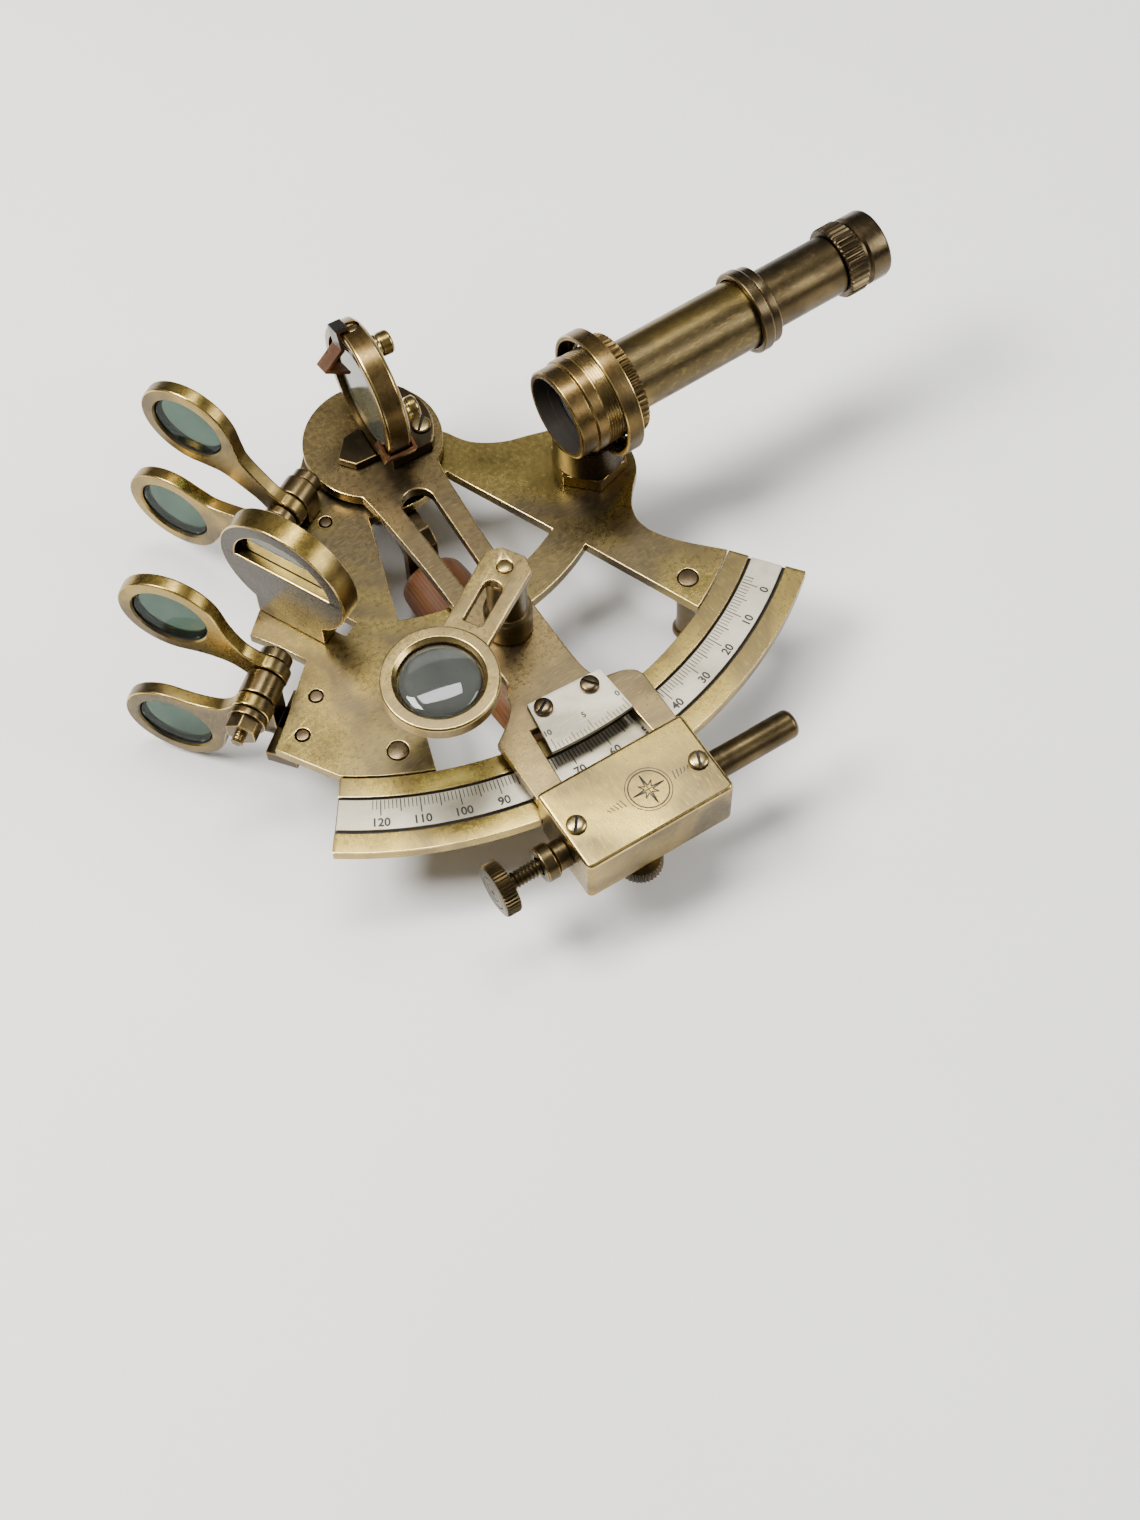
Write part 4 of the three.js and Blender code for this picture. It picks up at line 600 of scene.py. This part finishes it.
# top faces take the lighter gold and the upright sides the darker brass: painted light on top, painted shade on the
# sides; bevels take the edge highlight
for p in o.data.polygons: p.material_index = 0 if p.normal.z > .9 else 2 if abs(p.normal.z) < .3 and p.material_index == 0 else 1
done(o, 'clamp_block_v', 'index_arm', 'clamp_block', ['gold', 'edge', 'brass'], M=ARMM, sharp=40)
st, cx, cy = [], 2.5, -117.6
def ringm(r, w, n=48): return [[(cx + (r + s * w / 2) * math.cos(2 * math.pi * (i + k) / n), cy + (r + s * w / 2) * math.sin(2 * math.pi * (i + k) / n)) for k, s in ((0, -1), (1, -1), (1, 1), (0, 1))] for i in range(n)]
st += ringm(4.6, 0.32) + ringm(5.3, 0.2)
for i in range(8):
    a = i * 45 * D; L = 4.0 if i % 2 == 0 else 2.4
    for s in (-1, 1):
        b = a + s * 22.5 * D
        st.append(line((cx + L * math.cos(a), cy + L * math.sin(a)), (cx + 0.95 * math.cos(b), cy + 0.95 * math.sin(b)), 0.27))
    if i % 2 == 0: st.append(line((cx, cy), (cx + 3.7 * math.cos(a), cy + 3.7 * math.sin(a)), 0.2))
for s in (-1, 1):
    for k in range(5):
        st.append(line((cx + s * (6.4 + k * 0.9), cy - 1.1 + 0.16 * k), (cx + s * (6.9 + k * 0.9), cy + 1.1 - 0.16 * k), 0.24))
done(marks('m', 'x', st, BZ1 - 0.005), 'block_star', 'index_arm', [], ['ink'], M=ARMM, wn=False)
done(move(slotscrew(2.3, 0.8, 0.7, 0.9, 0.2), Tr(-15.6, -116.6, BZ1 + 0.3)), 'cover_screw_1_v', 'index_arm', 'cover_screw_1', ['screw', 'dedge', 'groove'], M=ARMM)
done(move(slotscrew(2.3, 0.8, 0.7, 1.2, 0.2), Tr(15.6, -117.6, BZ1 + 0.3)), 'cover_screw_2_v', 'index_arm', 'cover_screw_2', ['screw', 'dedge', 'groove'], M=ARMM)
SX = Tr(0, SCR_Y, SCR_Z) @ ALONGX
sx = lambda prof, n=64, **k: lathe(prof, n, M=SX, **k)
done(bevel(sx([[2.3, -26.0], [4.0, -26.0], [4.3, -25.6], [4.3, -23.0], [3.9, -22.5], [3.5, -22.2], [3.5, -19.3], [2.3, -19.3], [2.3, -26.0]]), 0.12), 'screw_sleeve_v', 'index_arm', 'screw_sleeve', ['dark', 'dedge'], M=ARMM)
done(bevel(sx([[0, 8.0], [2.3, 8.0], [2.3, 19.3], [3.5, 19.3], [3.5, 40.0], [3.3, 40.7], [2.7, 41.3], [0, 41.6]]), 0.1), 'spring_barrel_v', 'index_arm', 'spring_barrel', ['dark', 'dedge'], M=ARMM)
# tangent screw with a cut thread and a knurled head with turned rings on its face
def helix(x0, x1, r, d, pitch, n=40, per=8):
    bm = bmesh.new(); L = abs(x1 - x0); m = int(L / pitch * per); rings = []
    for i in range(m + 1):
        z = x0 + (x1 - x0) * i / m; ring = []
        for j in range(n):
            f = ((L * i / m) / pitch + j / n) % 1.0
            rr = r - d * (1 - abs(2 * f - 1)) * min(1, 4 * min(i, m - i) / per)
            a = 2 * math.pi * j / n
            ring.append(bm.verts.new(SX @ Vector((rr * math.cos(a), rr * math.sin(a), z))))
        rings.append(ring)
    for A, B in zip(rings, rings[1:]):
        for j in range(n): bm.faces.new([A[j], A[(j + 1) % n], B[(j + 1) % n], B[j]])
    bm.faces.new(rings[0][::-1]); bm.faces.new(rings[-1])
    return bm_obj(bm)
h = sx([[0, -33.9], [5.4, -33.9], [6.1, -34.1], [6.4, -34.5], [6.4, -37.2], [6.1, -37.6], [5.4, -37.8], [4.2, -37.8], [4.0, -37.6], [3.8, -37.8], [2.4, -37.8], [2.2, -37.6], [2.0, -37.8], [0.7, -37.8], [0.5, -37.5], [0, -37.5]],
       mod=[0, 0, .3, 1, 1, .3, 0, 0, 0, 0, 0, 0, 0, 0, 0, 0], teeth=44, depth=0.5)
o = merge(h, helix(-26.4, -33.6, 2.05, 0.42, 0.9), sx([[0, -6.0], [1.7, -6.0], [1.7, -34.0], [0, -34.0]], 40))
done(o, 'tangent_screw_v', 'tangent_screw', 'tangent_screw', ['dark'], M=ARMM, sharp=28)
h = lathe([[0, 12.6], [4.6, 12.6], [5.1, 12.8], [5.4, 13.2], [5.4, 16.0], [5.1, 16.4], [4.6, 16.6], [1.7, 16.6], [1.7, 21.2], [0, 21.2]], mod=[0, 0, .3, 1, 1, .3, 0, 0, 0, 0], teeth=36, depth=0.45, M=Tr(-3.5, -123.6))
done(h, 'clamp_knob_v', 'clamp_knob', 'clamp_knob', ['dark'], M=ARMM, sharp=28)

# magnifier
o = lathe([[0, 25.3], [1.7, 25.3], [1.7, 28.3], [5.2, 28.3], [5.6, 28.7], [5.7, 35.6], [5.4, 36.3], [4.7, 36.9], [4.6, 37.6], [4.6, 49.9], [4.3, 50.3], [1.7, 50.3], [1.7, 53.0], [1.5, 53.12], [0, 53.15]], 72, M=Tr(0, MAG_PY))
o = bevel(o, 0.15)
for p in o.data.polygons:
    if p.center.z > 51: p.material_index = 2
done(o, 'magnifier_post_v', 'index_arm', 'magnifier_post', ['dark', 'dedge', 'pale'], M=ARMM)
mL, mdir = math.hypot(MAG_CX, MAG_CY), math.atan2(MAG_CY, MAG_CX) / D
MM_ = ARMM @ Tr(0, MAG_PY) @ Rz(mdir)
arm_ = filletpoly([(mL - 10, 5.6), (9.4, 5.6), (-1.8, 5.8), (-4.4, 3.0), (-4.4, -3.0), (-1.8, -5.8), (9.4, -5.6), (mL - 10, -5.6)], [0, 0, .8, .8, .8, .8, 0, 0], 4)
sl_ = arc(2.3, 90, 270, 20, 6.6, 0) + filletpoly([(6.6, -2.3), (16.2, -2.3), (16.2, 2.3), (6.6, 2.3)], [0, .6, .6, 0], 4)[1:-1]
a1 = plate(arm_, [sl_, arc(1.78, 0, 350, 36)], MAG_Z0, MAG_Z1, 0.3, 2)
for p in a1.data.polygons: p.material_index = 1 if 0.2 < abs(p.normal.z) < 0.97 else 0
boole(a1, [lathe([(0, 40), (12.2, 40), (12.2, 60), (0, 60)], 96, M=Tr(mL))])
a2 = bevel(lathe([[8.9, MAG_Z0 - 0.8], [12.7, MAG_Z0 - 0.8], [13.2, MAG_Z0 - 0.4], [13.2, MAG_Z1 + 0.2], [12.8, MAG_Z1 + 0.6], [10.4, MAG_Z1 + 0.6], [10.0, MAG_Z1 + 0.1], [9.5, MAG_Z1 - 0.2], [9.5, MAG_Z0 + 0.2], [8.9, MAG_Z0 + 0.2], [8.9, MAG_Z0 - 0.8]], 128, M=Tr(mL)), 0.12)
done(merge(a1, a2), 'magnifier_arm_v', 'magnifier', 'magnifier_arm', ['pale', 'edge'], M=MM_)
lp = [(0, MAG_Z0 + 0.5), (9.2, MAG_Z0 + 0.5)] + [(9.2 * math.cos(t * 9 * D), MAG_Z0 + 1.1 + 2.1 * math.sin(t * 9 * D)) for t in range(0, 10)] + [(0, MAG_Z0 + 3.2)]
lp = [p for i, p in enumerate(lp) if i == 0 or p[0] > 1e-6 or i == len(lp) - 1]
done(lathe(lp, 96, M=Tr(mL)), 'magnifier_lens_v', 'magnifier', 'magnifier_lens', ['magn'], M=MM_, sharp=40)

# ================================================================ index mirror on the disc
ia = IM_AZ - ARM
IMM = ARMM @ Tr(IM_N * math.cos(ia * D), IM_N * math.sin(ia * D)) @ Rz(ia)
ST1, ST2 = (7.2, 51.4), (-7.4, 43.9)
o = bevel(rnd([[0, -0.8], [IM_R - 0.5, -0.8], [IM_R, -0.3], [IM_R, IM_T - 0.8], [IM_R - 0.8, IM_T], [0, IM_T]], 128, IM_U, IM_Z), 0.2)
crescent = boole(rnd([[0, 2], [IM_IN, 2], [IM_IN, 9], [0, 9]], 96, IM_U, IM_Z), [rnd([[0, 1], [IG_R + 0.2, 1], [IG_R + 0.2, 10], [0, 10]], 96, IG_U - 0.9, IG_Z - 1.0)])
aa = math.radians(68)                      # counterbored screw near the top of the rim
scM = Tr(2.2, IM_U + math.cos(aa) * (IM_R - 0.9), IM_Z + math.sin(aa) * (IM_R - 0.9)) @ Matrix.Rotation(aa - math.pi / 2, 4, 'X')
boole(o, [rnd([[0, -3], [IM_IN, -3], [IM_IN, 2.6], [0, 2.6]], 96, IM_U, IM_Z), crescent,
          rnd([(0, 0), (1.6, 0), (1.6, 9), (0, 9)], 32, *ST1), rnd([(0, 0), (1.6, 0), (1.6, 9), (0, 9)], 32, *ST2),
          lathe([(0, 0), (2.35, 0), (2.35, 4), (0, 4)], 48, M=scM)])
sc = move(slotscrew(2.1, 0.55, 0.6, 0.35, 0.15, 0.5), scM @ Matrix.Diagonal((1, 1, 1, 1)))
sc = boole(sc, [rnd([[0, -3], [IM_IN + .2, -3], [IM_IN + .2, 9], [0, 9]], 64, IM_U, IM_Z)])
for p in sc.data.polygons: p.material_index = 2
sc.data.materials.append(MAT['screw'])
done(merge(o, sc), 'index_mirror_frame_v', 'index_arm', 'index_mirror_frame', ['ring', 'edge', 'screw'], M=IMM)
done(bevel(rnd([[0, 0.3], [IG_R, 0.3], [IG_R, 2.3], [0, 2.3]], 96, IG_U, IG_Z), 0.3), 'index_mirror_glass_v', 'index_arm', 'index_mirror_glass', ['imirror', 'imirror'], M=IMM)
for k, (u, z), l in ((1, ST1, 6.2), (2, ST2, 5.0)):
    s1 = rnd([[0, 2.9], [1.3, 2.9], [1.3, 6.0], [0, 6.0]], 32, u, z)
    s2 = bevel(rnd([[0, IM_T + 0.3], [2.9, IM_T + 0.3], [2.9, IM_T + l * .42], [2.72, IM_T + l * .46], [2.72, IM_T + l * .52], [2.9, IM_T + l * .56], [2.9, IM_T + l - 0.5], [2.5, IM_T + l], [0, IM_T + l]], 64, u, z), 0.15)
    done(merge(s1, s2), 'mirror_stud_%d_v' % k, 'index_arm', 'mirror_stud_%d' % k, ['brass', 'edge'], M=IMM)
f = bevel(lathe([(0, AZ1 + 0.3), (15.0, AZ1 + 0.3), (15.0, AZ1 + 3.4), (0, AZ1 + 3.4)], 128), 0.4)
iM = Tr(IM_N * math.cos(ia * D), IM_N * math.sin(ia * D)) @ Rz(ia)
boole(f, [boxm(-40, 1.4, -40, 40, 20, 40, iM), boxm(-40, 40, -40, -10.4, 20, 40)])
g = extr(filletpoly([(-9.6, -2.6), (-6.4, -6.2), (3.2, -6.2), (3.2, 4.4), (-5.6, 2.4)], [.8, .5, 0, 0, .5], 3), AZ1 + 0.3, AZ1 + 2.4, M=iM)
g = bevel(g, 0.3)
ringcut = lambda: lathe([[0, -1.1], [IM_R + 0.3, -1.1], [IM_R + 0.3, IM_T + 0.3], [0, IM_T + 0.3]], 96, M=iM @ Tr(0, IM_U, IM_Z) @ ALONGX)
boole(f, [ringcut(), lathe([(0, 20), (1.5, 20), (1.5, 40), (0, 40)], 24, M=Tr(10.9, -5.0))]); boole(g, [ringcut()])
# the foot and its plate are the near-black material: painted shade under the mirror
done(merge(f, g), 'mirror_foot_v', 'index_arm', 'mirror_foot', ['black', 'dedge'], M=ARMM)
done(move(slotscrew(2.4, 0.75, 0.65, 0.8, 0.15), Tr(10.9, -5.0, AZ1 + 3.7) @ Matrix.Diagonal((1, 1, 0.8, 1))), 'mirror_foot_screw_v', 'index_arm', 'mirror_foot_screw', ['screw', 'dedge', 'groove'], M=ARMM)
def clipv(name, ang, prof, w):
    X = Matrix(((1, 0, 0, 0), (0, 0, 1, 0), (0, 1, 0, 0), (0, 0, 0, 1)))
    o = extr(prof, -w / 2, w / 2, M=Tr(0, IM_U, IM_Z) @ Matrix.Rotation((ang - 90) * D, 4, 'X') @ X)
    o = bevel(o, 0.12)
    o.data.materials.append(MAT['steel'])
    for p in o.data.polygons:
        if name.endswith('far') and math.hypot(p.center.y - IM_U, p.center.z - IM_Z) > 14.5: p.material_index = 2
    done(o, name + '_v', 'index_arm', name, ['copper', 'copper', 'steel'], M=IMM)
clipv('mirror_clip_near', 208, filletpoly([(-1.9, 12.6), (-1.1, 12.6), (-1.1, 17.2), (IM_T + 0.3, 17.2), (IM_T + 0.3, 14.8), (IM_T + 1.0, 14.8), (IM_T + 1.0, 17.9), (-1.9, 17.9)], 0.25, 3), 4.2)
clipv('mirror_clip_far', 66, filletpoly([(-1.9, 13.2), (-7.4, 9.4), (-1.6, 6.6), (-1.1, 7.2), (-6.2, 9.5), (-1.1, 12.6), (-1.1, 17.2), (1.4, 17.2), (1.4, 17.9), (-1.9, 17.9)], 0.25, 3), 5.6)

# ================================================================ floor, light, camera
fl = boxm(-3000, 3000, -3000, 3000, -6, -0.02); fl.name = 'floor'; fl.data.transform(Matrix.Scale(0.001, 4))
m, nt, b = newmat('pale_floor')
nt.links.new(mix(nt, (0.80, 0.79, 0.77), (0.76, 0.75, 0.73), ramp(nt, noise(nt, coords(nt), 6, 4), [(0.35, 0.0), (0.7, 1.0)])), b.inputs['Base Color'])
b.inputs['Roughness'].default_value = 0.75
fl.data.materials.append(m)
w = bpy.data.worlds.new('studio'); bpy.context.scene.world = w; w.use_nodes = True
nt = w.node_tree; bg = nt.nodes['Background']
tc = nt.nodes.new('ShaderNodeTexCoord'); sp = nt.nodes.new('ShaderNodeSeparateXYZ')
nt.links.new(tc.outputs['Generated'], sp.inputs[0])
nt.links.new(ramp(nt, sp.outputs['Z'], [(0.0, 0.5), (0.10, 0.22), (0.32, 0.30), (0.62, 0.9), (1.0, 1.0)]), bg.inputs['Color'])
bg.inputs['Strength'].default_value = 0.34
def area(name, loc, target, size, sy, power, color=(1, 1, 1)):
    L = bpy.data.lights.new(name, 'AREA'); L.shape = 'RECTANGLE'; L.size = size; L.size_y = sy; L.energy = power; L.color = color
    o = bpy.data.objects.new(name, L); col.objects.link(o)
    o.location = loc
    o.rotation_euler = (Vector(target) - Vector(loc)).to_track_quat('-Z', 'Y').to_euler()
area('key', (-0.55, 0.25, 0.85), (0, 0, 0.02), 0.42, 0.36, 20.0, (1.0, 0.98, 0.95))
area('fill', (0.65, -0.55, 0.60), (0, 0, 0.03), 0.5, 0.4, 7.0, (0.97, 0.98, 1.0))
area('top', (0.05, 0.25, 1.1), (0, 0, 0), 0.7, 0.22, 12.0)
cam = bpy.data.cameras.new('cam'); co = bpy.data.objects.new('cam', cam); col.objects.link(co)
f_, u_ = Vector((0.25802, 0.40526, -0.87704)).normalized(), Vector((0.49722, 0.72263, 0.48019)).normalized()
r_ = f_.cross(u_).normalized(); u_ = r_.cross(f_)
R3 = Matrix((r_, u_, -f_)).transposed()
co.matrix_world = Matrix.Translation(Vector(((-146.12 + TX) / 1000, (-313.56 + TY) / 1000, 0.49057))) @ R3.to_4x4()
cam.sensor_fit = 'VERTICAL'; cam.sensor_height = 36.0; cam.lens = 36.0 * 2368.47 / 1520; cam.clip_start = 0.01; cam.clip_end = 20
bpy.context.scene.camera = co
